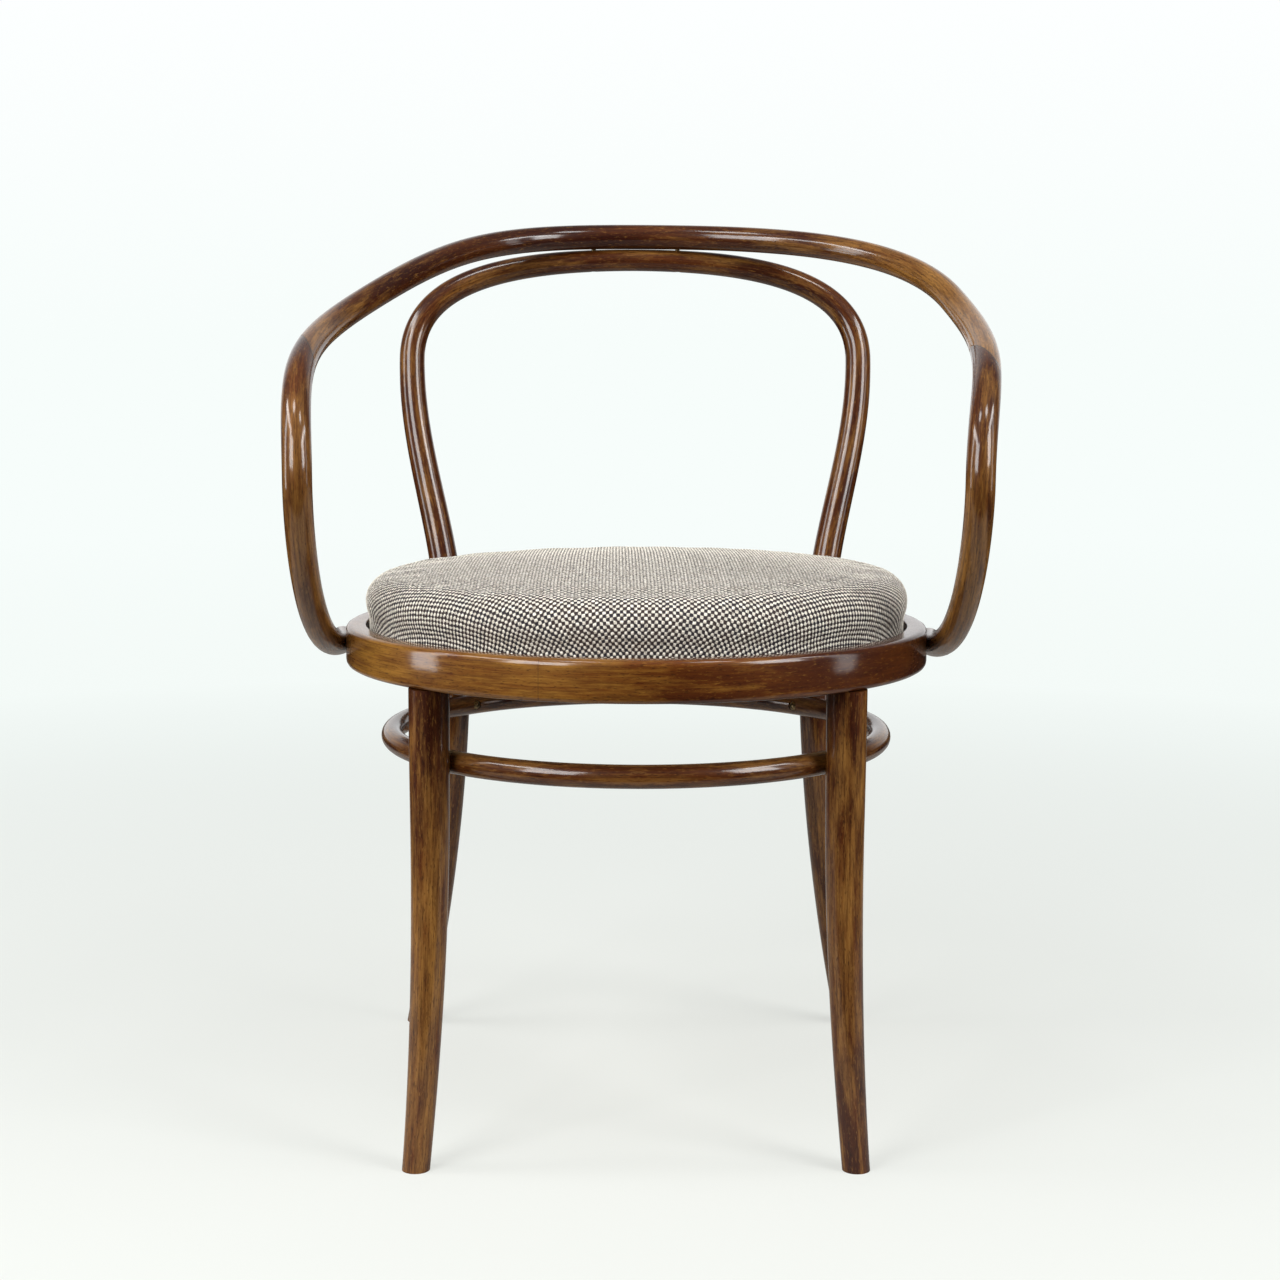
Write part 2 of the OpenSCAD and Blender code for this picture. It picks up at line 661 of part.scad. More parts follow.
seat_ring();
front_leg_left();
front_leg_right();
back_frame();
crest_rail();
left_arm();
right_arm();
stretcher_hoop();
corner_block_front_left();
corner_block_front_right();
corner_block_rear_left();
corner_block_rear_right();
seat_board();
seat_foam();
seat_cover();
cover_staples();
back_leg_bolts();
back_leg_washers();
back_leg_nuts();
arm_screws();
hoop_screws();
crest_screws();
block_screws();
seat_screws();
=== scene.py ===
# %% [markdown]
# # A bentwood armchair with a round upholstered seat
# Long beech laths are steamed, bent round a form and left to dry. The crest rail and the two arms
# make one bow, one rod is the loop of the back and both rear legs, and two rings carry the seat and
# tie the legs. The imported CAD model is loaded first. Every piece here is built around it.

# %% Load the frame
import json
import math

import bmesh
import bpy
import numpy as np
from mathutils import Matrix, Vector
from mathutils.kdtree import KDTree


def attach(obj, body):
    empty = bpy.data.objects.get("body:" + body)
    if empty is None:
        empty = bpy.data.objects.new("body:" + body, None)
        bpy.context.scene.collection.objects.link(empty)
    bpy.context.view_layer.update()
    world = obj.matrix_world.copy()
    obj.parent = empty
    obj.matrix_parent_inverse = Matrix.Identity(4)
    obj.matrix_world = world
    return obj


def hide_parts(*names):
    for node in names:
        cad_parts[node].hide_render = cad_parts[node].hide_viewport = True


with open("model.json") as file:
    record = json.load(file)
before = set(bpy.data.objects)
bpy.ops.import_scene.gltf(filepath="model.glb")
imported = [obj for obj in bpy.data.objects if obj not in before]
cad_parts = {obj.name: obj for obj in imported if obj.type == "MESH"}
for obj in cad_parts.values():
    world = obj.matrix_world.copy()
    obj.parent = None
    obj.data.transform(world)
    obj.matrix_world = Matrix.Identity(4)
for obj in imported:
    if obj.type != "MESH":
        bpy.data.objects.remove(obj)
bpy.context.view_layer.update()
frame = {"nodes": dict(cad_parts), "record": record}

# %% [markdown]
# ## The camera
# The photograph was taken from straight in front, from about the height of the crest rail, with the
# camera tipped down a little. Its place was found by fitting it and the chair to the photo together.

# %% Camera
CAMERA_AT = Vector((-0.02354, -1.8619, 0.62975))
HEADING, PITCH, ROLL = math.radians(0.61), math.radians(7.50), math.radians(0.25)
forward = Vector((math.sin(HEADING) * math.cos(PITCH), math.cos(HEADING) * math.cos(PITCH),
                  -math.sin(PITCH)))
right = Vector((math.cos(HEADING), -math.sin(HEADING), 0))
up = right.cross(forward)
camera_x = right * math.cos(ROLL) + up * math.sin(ROLL)
camera_y = -right * math.sin(ROLL) + up * math.cos(ROLL)
turned = Matrix((camera_x, camera_y, -forward)).transposed().to_4x4()
camera = bpy.data.objects.new("camera", bpy.data.cameras.new("camera"))
camera.data.sensor_width, camera.data.lens = 36, 64.33
camera.matrix_world = Matrix.Translation(CAMERA_AT) @ turned
bpy.context.scene.collection.objects.link(camera)
bpy.context.scene.camera = camera
print("camera lens:", camera.data.lens, "mm")

# %% [markdown]
# ## Small helpers
# Sizes are written in millimetres, as in the CAD source, and colours as sRGB hex values. Blender
# wants metres and linear light, so one value and one function turn them. The next helper adds a node
# to a tree with its settings and links, and the short ones after it do sums in a tree.

# %% Helpers
MM = 0.001


def linear(hex_colour):
    """The linear RGBA of an sRGB hex colour."""
    parts = [int(hex_colour[i:i + 2], 16) / 255 for i in (1, 3, 5)]
    return [p / 12.92 if p <= 0.04045 else ((p + 0.055) / 1.055) ** 2.4 for p in parts] + [1.0]


def add(tree, kind, inputs=None, **settings):
    """Adds a node. inputs maps a socket's name or number to a value or to another node's output."""
    node = tree.nodes.new(kind)
    for name, value in settings.items():
        setattr(node, name, value)
    for key, value in (inputs or {}).items():
        if isinstance(key, str):
            socket = next(s for s in node.inputs if s.name == key and s.enabled)
        else:
            socket = node.inputs[key]
        if isinstance(value, bpy.types.NodeSocket):
            tree.links.new(value, socket)
        else:
            socket.default_value = value
    return node


def output(node, name):
    """The output of that name that the node's settings leave switched on."""
    return next(s for s in node.outputs if s.name == name and s.enabled)


def maths(tree, operation, *values):
    return add(tree, "ShaderNodeMath", dict(enumerate(values)), operation=operation).outputs[0]


def vector_maths(tree, operation, *values):
    return add(tree, "ShaderNodeVectorMath", dict(enumerate(values)), operation=operation).outputs[0]


def times(tree, vector, factor):
    return add(tree, "ShaderNodeVectorMath", {0: vector, "Scale": factor}, operation="SCALE").outputs[0]


def length_of(tree, vector):
    return add(tree, "ShaderNodeVectorMath", {0: vector}, operation="LENGTH").outputs["Value"]


def axes(tree, vector):
    """The three numbers of a vector, as the outputs of a node."""
    return add(tree, "ShaderNodeSeparateXYZ", {0: vector}).outputs


# %% [markdown]
# ## Sizes repeated from the CAD source
# scene.py can't read the CAD source, so the sizes that the curves need are written again here.

# %% Sizes in millimetres
SEAT_MIDDLE = np.array((-6.739, -12.0, 0.0))  # the seat's middle, from the middle of the chair's box
RING_R, RING_T, RING_H, SEAT_H = 235.0, 24.0, 32.0, 402.0
REBATE_H, LEDGE_W, RING_EDGE_R = 10.0, 8.0, 4.0
RING_Z = SEAT_H - RING_H
RING_IN = RING_R - RING_T
BOW_R = 11.0
HOOP_R, HOOP_ROD_R, HOOP_H, HOOP_SEAT = 198.5, 9.0, 311.0, 1.5
FACET = 0.995  # the CAD's rods have 16 flat sides, so a true round is drawn a hair thinner

BOARD_D, BOARD_Z, BOARD_TOP = 429.0, 393.8, 402.8
CROWN_H, RIM_H, RIM_R, SWELL, COVER_T, HEM_W = 51.0, 43.0, 24.0, 3.0, 1.5, 12.0

# %% [markdown]
# ## The lines that the rods follow
# A bent rod has no corners, so each line is a chain of smooth Bézier bends. The frame that the
# section turns on is carried along the line, so that the grain doesn't twist round the rod.

# %% Lines
FINE = 5  # points in each step of a line


def unit(v):
    v = np.array(v, float)
    return v / np.linalg.norm(v)


def bend(start, leave, end, arrive, steps):
    """Points of a curve that leaves start along leave and reaches end along arrive."""
    start, leave, end, arrive = (np.array(v, float) for v in (start, leave, end, arrive))
    t = (np.arange(steps * FINE) / (steps * FINE))[:, None]
    return ((1 - t) ** 3 * start + 3 * t * (1 - t) ** 2 * (start + leave)
            + 3 * t * t * (1 - t) * (end - arrive) + t ** 3 * end)


class Line:
    """A centre line in millimetres, with its lengths, tangents and carried normals."""

    def __init__(self, points, first_normal):
        self.points = np.array(points, float)
        steps = np.linalg.norm(np.diff(self.points, axis=0), axis=1)
        self.lengths = np.concatenate([[0], np.cumsum(steps)])
        around = np.vstack([self.points[1] - self.points[0], self.points[2:] - self.points[:-2],
                            self.points[-1] - self.points[-2]])
        self.tangents = around / np.linalg.norm(around, axis=1)[:, None]
        normal, carried = np.array(first_normal, float), []
        for tangent in self.tangents:
            normal = unit(normal - normal.dot(tangent) * tangent)
            carried.append(normal)
        self.normals = np.array(carried)


def through_middle(half):
    """A line through two halves. half(1) and half(-1) draw them from the middle outwards."""
    return Line(np.vstack([half(-1)[::-1], half(1)[1:]]), (0, 1, 0))


# %% [markdown]
# The bow runs from the end of one arm over the crest to the other. This one was bent by hand and
# sways a little to the sitter's left at its shoulders, as the photograph shows.

# %% The bow: crest rail and arms
CREST_STEPS, SIDE_STEPS, ARM_STEPS = 26, 24, 24
HALF_STEPS = CREST_STEPS + SIDE_STEPS + ARM_STEPS
ARM_END_BACK, ARM_END_H, ARM_LAP = 34.0, 383.0, 2.5
ARM_END_OUT = RING_R + BOW_R - ARM_LAP


def bow_half(side):
    crest, shoulder = (0, 248, 721), (side * 238 + 21, 56, 664)
    along_shoulder = unit((side * 0.4 - 0.17, -1, -0.43))
    front = (side * 249, -183, 527)
    end = (side * math.sqrt(ARM_END_OUT ** 2 - ARM_END_BACK ** 2), ARM_END_BACK, ARM_END_H)
    along_end = unit((-side * 0.11, 1, 0.05))
    return np.vstack([
        bend(crest, (side * 129, 0, 0), shoulder, 126 * along_shoulder, CREST_STEPS),
        bend(shoulder, 126 * along_shoulder, front, (0, 0, -86), SIDE_STEPS),
        bend(front, (0, 0, -38), end, 128 * along_end, ARM_STEPS), [end]])


bow = through_middle(bow_half)
print("bow length:", round(bow.lengths[-1]), "mm")

# %% [markdown]
# The back frame is one rod too: up a rear leg, round the loop under the crest rail, and down the
# other leg. It is thin at the loop, thickest at the hoop and thin again at the floor.

# %% The back frame
LOOP_D, BACK_LEG_D, KNEE_D, BACK_FOOT_D = 19.5, 26.0, 28.0, 21.0
LOOP_STEPS, STILE_STEPS, SEAT_STEPS, LEG_STEPS = 22, 20, 7, 25
BACK_STEPS = LOOP_STEPS + STILE_STEPS + SEAT_STEPS + LEG_STEPS + 1
LOOP_H = 721 - math.sqrt((BOW_R + LOOP_D / 2 + 0.1) ** 2 - 3 ** 2)
RING_MID_Z = SEAT_H - RING_H / 2
LEAN = (251 - 171) / (LOOP_H - RING_MID_Z)
KNEE_OUT = HOOP_R + HOOP_ROD_R + KNEE_D / 2 - HOOP_SEAT


def back_half(side):
    wide, down = (side * 201, 171 + (612 - RING_MID_Z) * LEAN, 612), unit((0, -LEAN, -1))
    seat, along_seat = (side * 165, 171, RING_MID_Z), unit((-side * 0.05, -LEAN, -1))
    knee = (side * 160, math.sqrt(KNEE_OUT ** 2 - 160 ** 2), HOOP_H)
    along_knee = unit((side * 0.03, 0.03, -1))
    foot, along_foot = np.array((side * 199, 218, 0.0)), unit((side * 0.2, 0.33, -1))
    past = foot + np.linspace(0, 10, FINE + 1)[:, None] * along_foot
    return np.vstack([
        bend((0, 251, LOOP_H), (side * 112, 0, 0), wide, 73 * down, LOOP_STEPS),
        bend(wide, 85 * down, seat, 80 * along_seat, STILE_STEPS),
        bend(seat, 25 * along_seat, knee, 25 * along_knee, SEAT_STEPS),
        bend(knee, 110 * along_knee, foot, 100 * along_foot, LEG_STEPS), past])


back = through_middle(back_half)
knee_step = LOOP_STEPS + STILE_STEPS + SEAT_STEPS
back_sizes = np.interp(
    np.abs(np.arange(len(back.points)) / FINE - BACK_STEPS),
    [0, LOOP_STEPS, LOOP_STEPS + STILE_STEPS, knee_step, knee_step + LEG_STEPS / 2, BACK_STEPS],
    [LOOP_D, (LOOP_D + BACK_LEG_D) / 2, BACK_LEG_D, KNEE_D, (KNEE_D + BACK_FOOT_D) / 2,
     BACK_FOOT_D]) / 2
print("back frame length:", round(back.lengths[-1]), "mm")

# %% The front legs and the two rings
FRONT_LEG_D, FRONT_FOOT_D, FRONT_FLARE, FLARE_H, FOOT_OVER = 31.0, 21.5, 16.5, 270.0, 10.0
FRONT_LEG_OUT = HOOP_R + HOOP_ROD_R + FRONT_LEG_D / 2 - HOOP_SEAT
front_z = np.linspace(RING_Z, -FOOT_OVER, 120)


def front_leg_line(angle):
    out = FRONT_LEG_OUT + FRONT_FLARE * np.maximum(0, 1 - front_z / FLARE_H) ** 2
    return Line(np.column_stack([out * math.cos(angle), out * math.sin(angle), front_z]), (1, 0, 0))


front_sizes = FRONT_FOOT_D / 2 + (FRONT_LEG_D - FRONT_FOOT_D) / 2 * np.sin(
    np.pi / 2 * np.maximum(0, front_z) / RING_Z) ** 1.2
SPARE = 20  # degrees of a ring's line past each end


def round_line(radius, z, start_degrees):
    """A full circle and a little more at both ends, run clockwise so that its binormal is up."""
    angles = np.radians(start_degrees - np.arange(-SPARE, 360 + SPARE + 1))
    points = np.column_stack([
        radius * np.cos(angles), radius * np.sin(angles), np.full(len(angles), z)])
    line = Line(points, (math.cos(angles[0]), math.sin(angles[0]), 0))
    line.normals = np.column_stack([np.cos(angles), np.sin(angles), 0 * angles])
    return line


# %% [markdown]
# ## One tree bends every rod
# A curve with a bevel has square ends, but a glued scarf joint is cut on the slant. So a Geometry
# Nodes tree sweeps a profile along a straight row of stations, and then moves each point to its place
# on the bent line. A slant makes one side of the rod reach further along the line than the other.

# %% The tree
def new_tree(name, sockets):
    tree = bpy.data.node_groups.new(name, "GeometryNodeTree")
    for label, kind in sockets:
        tree.interface.new_socket(name=label, in_out="INPUT", socket_type="NodeSocket" + kind)
    tree.interface.new_socket(name="Geometry", in_out="OUTPUT", socket_type="NodeSocketGeometry")
    return tree, add(tree, "NodeGroupInput"), add(tree, "NodeGroupOutput")


bent_rod, given, made = new_tree("Bent rod", [
    ("Stations", "Geometry"), ("Line", "Object"), ("Profile", "Object"), ("Wood", "Material")])


def named(tree, name, kind="FLOAT"):
    read = add(tree, "GeometryNodeInputNamedAttribute", {"Name": name}, data_type=kind)
    return output(read, "Attribute")


def curve_of(tree, thing):
    """The polyline of an object that the tree is given, as a curve."""
    read = output(add(tree, "GeometryNodeObjectInfo", {"Object": thing}), "Geometry")
    return add(tree, "GeometryNodeMeshToCurve", {"Mesh": read}).outputs[0]


def keep_place(tree, geometry, name):
    """Stores where each point lies now under a name, before it is moved."""
    return add(tree, "GeometryNodeStoreNamedAttribute", {
        "Geometry": geometry, "Name": name, "Value": add(tree, "GeometryNodeInputPosition").outputs[0]},
        data_type="FLOAT_VECTOR", domain="POINT").outputs[0]


def hand_over(tree, geometry, material):
    """Makes the geometry real, gives it its material and joins it to the tree's output."""
    real = add(tree, "GeometryNodeRealizeInstances", {0: geometry})
    finished = add(tree, "GeometryNodeSetMaterial", {"Geometry": real.outputs[0], "Material": material})
    tree.links.new(finished.outputs[0], made.inputs[0])


def build_bent_rod(tree):
    profile = keep_place(tree, curve_of(tree, given.outputs["Profile"]), "section")
    stations = add(tree, "GeometryNodeMeshToCurve", {"Mesh": given.outputs["Stations"]})
    straight = add(tree, "GeometryNodeCurveToMesh", {
        "Curve": stations.outputs[0], "Profile Curve": profile, "Fill Caps": True})
    section = axes(tree, named(tree, "section", "FLOAT_VECTOR"))
    across, upward = (maths(tree, "MULTIPLY", section[k], named(tree, "size")) for k in (0, 1))
    reach = maths(tree, "MULTIPLY_ADD", named(tree, "slant"), across, named(tree, "station"))
    on_line = add(tree, "GeometryNodeSampleCurve", {
        "Curves": curve_of(tree, given.outputs["Line"]),
        "Value": named(tree, "normal_out", "FLOAT_VECTOR"), "Length": reach},
        data_type="FLOAT_VECTOR", mode="LENGTH", use_all_curves=True)
    normal = output(on_line, "Value")
    binormal = vector_maths(tree, "CROSS_PRODUCT", output(on_line, "Tangent"), normal)
    offset = vector_maths(tree, "ADD", times(tree, normal, across), times(tree, binormal, upward))
    placed = add(tree, "GeometryNodeSetPosition", {
        "Geometry": straight.outputs[0],
        "Position": vector_maths(tree, "ADD", output(on_line, "Position"), offset)})
    hand_over(tree, placed.outputs[0], given.outputs["Wood"])


build_bent_rod(bent_rod)
print("tree:", bent_rod.name, len(bent_rod.nodes), "nodes")

# %% [markdown]
# ## From points to a plain mesh
# The tree reads polylines: meshes of points and edges, with values on their points. What it makes
# of them is kept as a plain mesh.

# %% Polylines and growing
def new_object(name, data):
    obj = bpy.data.objects.new(name, data)
    bpy.context.scene.collection.objects.link(obj)
    return obj


def set_values(mesh, name, data):
    """Stores a number or a vector for each point of the mesh under a name."""
    data = np.array(data, np.float32)
    kind, field = ("FLOAT_VECTOR", "vector") if data.ndim == 2 else ("FLOAT", "value")
    mesh.attributes.new(name, kind, "POINT").data.foreach_set(field, data.ravel())


def corners(mesh, field="co"):
    """The places of a mesh's points, or their normals."""
    values = np.empty(len(mesh.vertices) * 3)
    mesh.vertices.foreach_get(field, values)
    return values.reshape(-1, 3)


def polyline(name, points, closed=False, **values):
    """A mesh of joined points, in millimetres, with named values for its points."""
    last = len(points) - 1
    edges = [(i, i + 1) for i in range(last)] + ([(last, 0)] if closed else [])
    mesh = bpy.data.meshes.new(name)
    mesh.from_pydata(np.array(points, float) * MM, edges, [])
    for key, data in values.items():
        set_values(mesh, key, data)
    return new_object(name, mesh)


def discard(*objects):
    for obj in objects:
        mesh = obj.data
        bpy.data.objects.remove(obj)
        if mesh.users == 0:
            bpy.data.meshes.remove(mesh)


def keep_result(obj):
    """Makes the object's evaluated shape its plain mesh."""
    drawn, evaluated = obj.data, obj.evaluated_get(bpy.context.evaluated_depsgraph_get())
    obj.data = bpy.data.meshes.new_from_object(evaluated)
    obj.modifiers.clear()
    bpy.data.meshes.remove(drawn)


def grow(name, tree, start, inputs):
    """Runs a tree on the object start, which becomes the piece of that name."""
    modifier = start.modifiers.new("grow", "NODES")
    modifier.node_group = tree
    for item in tree.interface.items_tree:
        if item.in_out == "INPUT" and item.name in inputs:
            modifier[item.identifier] = inputs[item.name]
    bpy.context.view_layer.update()
    keep_result(start)
    start.name = start.data.name = name
    return start


def volume(mesh):
    shape = bmesh.new()
    shape.from_mesh(mesh)
    inside = shape.calc_volume(signed=True)
    shape.free()
    return inside


def face_out(obj):
    """Turns a closed mesh's faces outwards, and prints how much it holds."""
    if volume(obj.data) < 0:
        obj.data.flip_normals()
    print(obj.name, len(obj.data.polygons), "faces", round(volume(obj.data) * 1e6), "cm3")
    return obj


# %% [markdown]
# ## Grain that follows the bend
# In a steam-bent rod the fibres run along the rod. Each point gets a value called grain: how far
# along the line it lies, and how far off it in both directions. The wood's pattern is drawn on that,
# so it bends with the rod and has no seam.

# %% The grain of a rod
def finder(places, first=0):
    """Finds the nearest of some places. Their numbers start at first."""
    found = KDTree(len(places))
    for i, place in enumerate(places, first):
        found.insert(place, i)
    found.balance()
    return found


def give_grain(obj, line, start, rubbed, spare=0):
    """Stores the grain value in metres. start moves the pattern, so that no two rods match.

    A ring's spare points are left out, and its pattern runs both ways from the joint, so that it
    closes. rubbed is a row of values along the line: how far the stain is rubbed away, 0 to 1."""
    used = line.points[spare:len(line.points) - spare]
    on_line = finder([Vector(point + SEAT_MIDDLE) * MM for point in used], spare)
    places = corners(obj.data)
    inside, faces = np.zeros_like(places), np.zeros(len(places))
    for face in obj.data.polygons:
        around = list(face.vertices)
        inside[around] += face.center
        faces[around] += 1
    inside /= np.maximum(faces, 1)[:, None]
    nearest = np.array([on_line.find(p)[1] for p in inside])
    off = places / MM - SEAT_MIDDLE - line.points[nearest]
    tangents, normals = line.tangents[nearest], line.normals[nearest]
    along = line.lengths[nearest] + (off * tangents).sum(1)
    first, last = line.lengths[spare], line.lengths[-1 - spare]
    shares = (along - first) / (last - first)
    set_values(obj.data, "rubbed", np.interp(shares, np.linspace(0, 1, len(rubbed)), rubbed))
    if spare:
        along = np.minimum(along - first, last - along)
    set_values(obj.data, "grain", MM * np.column_stack([
        along + start, (off * normals).sum(1), (off * np.cross(tangents, normals)).sum(1)]))


# %% [markdown]
# ## Stained and varnished beech
# The stain is a dark reddish brown. It went on unevenly and has worn with the years, so the colour
# runs from near black in the bends to golden brown where hands touch. Beech shows short dark rays
# along the grain. The varnish is a clear coat on top: it is smooth and gives narrow white lines of
# light, the wood under it is dull, and brush marks and small dents break the lines up a little.

# %% Wood material
def new_material(name):
    material = bpy.data.materials.new(name)
    material.use_nodes = True
    material.node_tree.nodes.clear()
    return material, material.node_tree


def ramp(tree, factor, *stops):
    """A colour ramp. Each stop is a place from 0 to 1 and a hex colour."""
    node = add(tree, "ShaderNodeValToRGB", {0: factor})
    elements = node.color_ramp.elements
    while len(elements) < len(stops):
        elements.new(0.5)
    for element, (place, colour) in zip(elements, stops):
        element.position = place
        element.color = linear(colour)
    return node.outputs[0]


def mix_colour(tree, factor, a, b):
    return output(add(tree, "ShaderNodeMix", {"Factor": factor, "A": a, "B": b},
                      data_type="RGBA", clamp_factor=True), "Result")


def own_place(tree):
    """Where a point lies in its object's own axes."""
    return add(tree, "ShaderNodeTexCoord").outputs["Object"]


def attribute(tree, name, kind="Fac"):
    return add(tree, "ShaderNodeAttribute", attribute_name=name).outputs[kind]


def principled(material, tree, **inputs):
    """Joins a surface shader to the material's output. An underscore stands for a space."""
    surface = add(tree, "ShaderNodeBsdfPrincipled", {
        name.replace("_", " "): value for name, value in inputs.items()})
    add(tree, "ShaderNodeOutputMaterial", {0: surface.outputs[0]})
    return material


def bump(tree, strength, distance, height):
    """A bumped normal. distance is in metres."""
    return add(tree, "ShaderNodeBump", {
        "Strength": strength, "Distance": distance, "Height": height}).outputs[0]


def noise(tree, coordinates, stretch, detail=3.0, roughness=0.55):
    """Noise whose patches measure stretch millimetres along, across and through the grain."""
    scaled = vector_maths(tree, "MULTIPLY", coordinates, [1000 / s for s in stretch])
    return add(tree, "ShaderNodeTexNoise", {
        "Vector": scaled, "Scale": 1.0, "Detail": detail, "Roughness": roughness}).outputs[0]


def fit(tree, value, low, high, to_low=0.0, to_high=1.0):
    """Stretches value from low..high to the new range and stops there."""
    return add(tree, "ShaderNodeMapRange", {
        0: value, 1: low, 2: high, 3: to_low, 4: to_high}, clamp=True).outputs[0]


def stained_beech(name, dark, middle, gold, line_from, line_share):
    """line_from and line_share set how wide and how dark the glue line of a joint is."""
    material, tree = new_material(name)
    grain, rubbed = attribute(tree, "grain", "Vector"), attribute(tree, "rubbed")
    clouds = noise(tree, grain, (110, 12, 12), 4.0)
    streaks = noise(tree, grain, (40, 1.5, 1.5), 5.0, 0.7)
    rays = noise(tree, grain, (5.0, 0.9, 0.9), 1.0)
    flecks = noise(tree, grain, (7.0, 1.4, 1.4), 3.0, 0.7)
    worn = noise(tree, grain, (55, 8, 8), 5.0, 0.65)
    stained = maths(tree, "MULTIPLY_ADD", rubbed, 0.34, clouds)
    # gold shows where the rubbed values are high; on the crest rail's shoulders that gold is partly
    # painted reflection of the varnish's sheen
    thinned = maths(tree, "MULTIPLY_ADD", rubbed, 0.42, worn)
    colour = ramp(tree, fit(tree, stained, 0.42, 0.78), (0.0, dark), (1.0, middle))
    for pattern, low, high, share, hue in [
            (thinned, 0.60, 0.92, 1.0, gold), (streaks, 0.44, 0.62, 0.62, dark),
            (flecks, 0.56, 0.70, 0.45, gold), (rays, 0.60, 0.70, 0.55, NEAR_BLACK),
            (attribute(tree, "joint"), line_from, 1.0, line_share, NEAR_BLACK)]:
        colour = mix_colour(tree, fit(tree, pattern, low, high, 0.0, share), colour, linear(hue))
    dents = noise(tree, grain, (14, 9, 9), 2.0)
    skin = maths(tree, "MULTIPLY_ADD", dents, 1.0, maths(tree, "MULTIPLY", streaks, 0.10))
    bumped = bump(tree, 0.3, 0.00035, skin)
    return principled(
        material, tree, Base_Color=colour, Roughness=0.5, IOR=1.5, Specular_IOR_Level=0.1,
        Coat_Weight=1.0, Coat_Roughness=0.13, Coat_IOR=1.45, Normal=bumped, Coat_Normal=bumped)


NEAR_BLACK = "#120501"  # rays in the wood, and old glue
rod_wood = stained_beech("stained_beech_rods", "#2a0a01", "#552a08", "#8e632e", 0.5, 0.9)
ring_wood = stained_beech("stained_beech_ring", "#3a1503", "#66360b", "#926526", 0.93, 0.6)
print("wood:", rod_wood.name, ring_wood.name)

# %% [markdown]
# ## Making the rods
# Each rod gets its stations, one every few millimetres, with the rod's size there. Near a scarf
# joint they also slant, and the slant fades away over the next ones. The last station at a joint is
# marked, and the wood is drawn dark there, as an old glue line is.

# %% Profiles and the rod maker
SIDES = 32
CHAIR_SHIFT = Matrix.Translation(Vector(SEAT_MIDDLE) * MM)
turns = [2 * math.pi * k / SIDES for k in range(SIDES)]
circle = [(math.cos(turn) / MM, math.sin(turn) / MM, 0) for turn in turns]


def make_rod(name, line, stations, sizes, slants=None, profile=circle, wood=rod_wood,
             flat_angle=40, joints=()):
    """Bends a rod. sizes are metres, or factors of a profile that is drawn in millimetres."""
    line_points = polyline("line", line.points, normal_out=line.normals)
    profile_points = polyline("profile", profile, closed=True)
    joint = np.zeros(len(stations))
    joint[list(joints)] = 1
    start = polyline("stations", [(s, 0, 0) for s in stations],
                     station=np.array(stations) * MM, size=sizes, joint=joint,
                     slant=np.zeros(len(stations)) if slants is None else slants)
    obj = grow(name, bent_rod, start, {
        "Line": line_points, "Profile": profile_points, "Wood": wood})
    discard(line_points, profile_points)
    obj.data.transform(CHAIR_SHIFT)
    obj.data.shade_smooth()
    obj.data.set_sharp_from_angle(angle=math.radians(flat_angle))
    return face_out(obj)


# %% [markdown]
# The crest rail and the two arms lie on one line. The rail ends where the scarf joints are, and each
# arm goes on from there to the seat ring. The arm's free end is rounded.

# %% Crest rail and arms
SCARF_STEP = CREST_STEPS + 11
SCARF_L, SCARF_BLEND = 55.0, 9
bow_mid = HALF_STEPS * FINE
scarf_places = [bow.lengths[bow_mid - SCARF_STEP * FINE], bow.lengths[bow_mid + SCARF_STEP * FINE]]
fade = [abs(place - bow.lengths[bow_mid + s * (SCARF_STEP - SCARF_BLEND) * FINE])
        for s, place in zip((-1, 1), scarf_places)]
RAIL_STATIONS, ARM_STATIONS, ARM_TIP, TIP_STATIONS = 150, 120, 8.0, 9


def scarf_slants(stations, which):
    away = np.abs(np.array(stations) - scarf_places[which])
    return SCARF_L / (2 * BOW_R) * np.maximum(0, 1 - away / fade[which])


rail_stations = np.linspace(*scarf_places, RAIL_STATIONS + 1)
rail_slants = np.where(rail_stations < bow.lengths[bow_mid],
                       scarf_slants(rail_stations, 0), scarf_slants(rail_stations, 1))
crest_rail = make_rod("bent_crest_rail", bow, rail_stations,
                      np.full(len(rail_stations), BOW_R * FACET * MM), rail_slants, joints=(0, -1))


def make_arm(name, which):
    end = bow.lengths[-1] if which else 0.0
    inward = -1 if which else 1
    run = abs(scarf_places[which] - end)
    near = ARM_TIP * (1 - np.cos(np.linspace(0, np.pi / 2, TIP_STATIONS)))
    places = np.concatenate([near, np.linspace(ARM_TIP, run, ARM_STATIONS)[1:]])
    sizes = BOW_R * np.sqrt(1 - np.clip(1 - np.maximum(places, 0.35) / ARM_TIP, 0, 1) ** 2)
    stations = end + inward * places
    order = np.argsort(stations)
    return make_rod(name, bow, stations[order], sizes[order] * FACET * MM,
                    scarf_slants(stations[order], which), joints=(0,) if which else (-1,))


left_arm = make_arm("bent_arm_left", 1)
right_arm = make_arm("bent_arm_right", 0)

# %% Back frame and front legs
back_stations = np.linspace(0, back.lengths[-1], 560)
back_frame = make_rod("bent_back_frame", back, back_stations,
                      np.interp(back_stations, back.lengths, back_sizes) * FACET * MM)
FRONT_ANGLES = {"left": math.radians(-45), "right": math.radians(225)}
leg_lines = {side: front_leg_line(angle) for side, angle in FRONT_ANGLES.items()}
front_legs = {}
for side, line in leg_lines.items():
    places = np.linspace(0, line.lengths[-1], 90)
    front_legs[side] = make_rod("turned_front_leg_" + side, line, places,
                                np.interp(places, line.lengths, front_sizes) * FACET * MM)

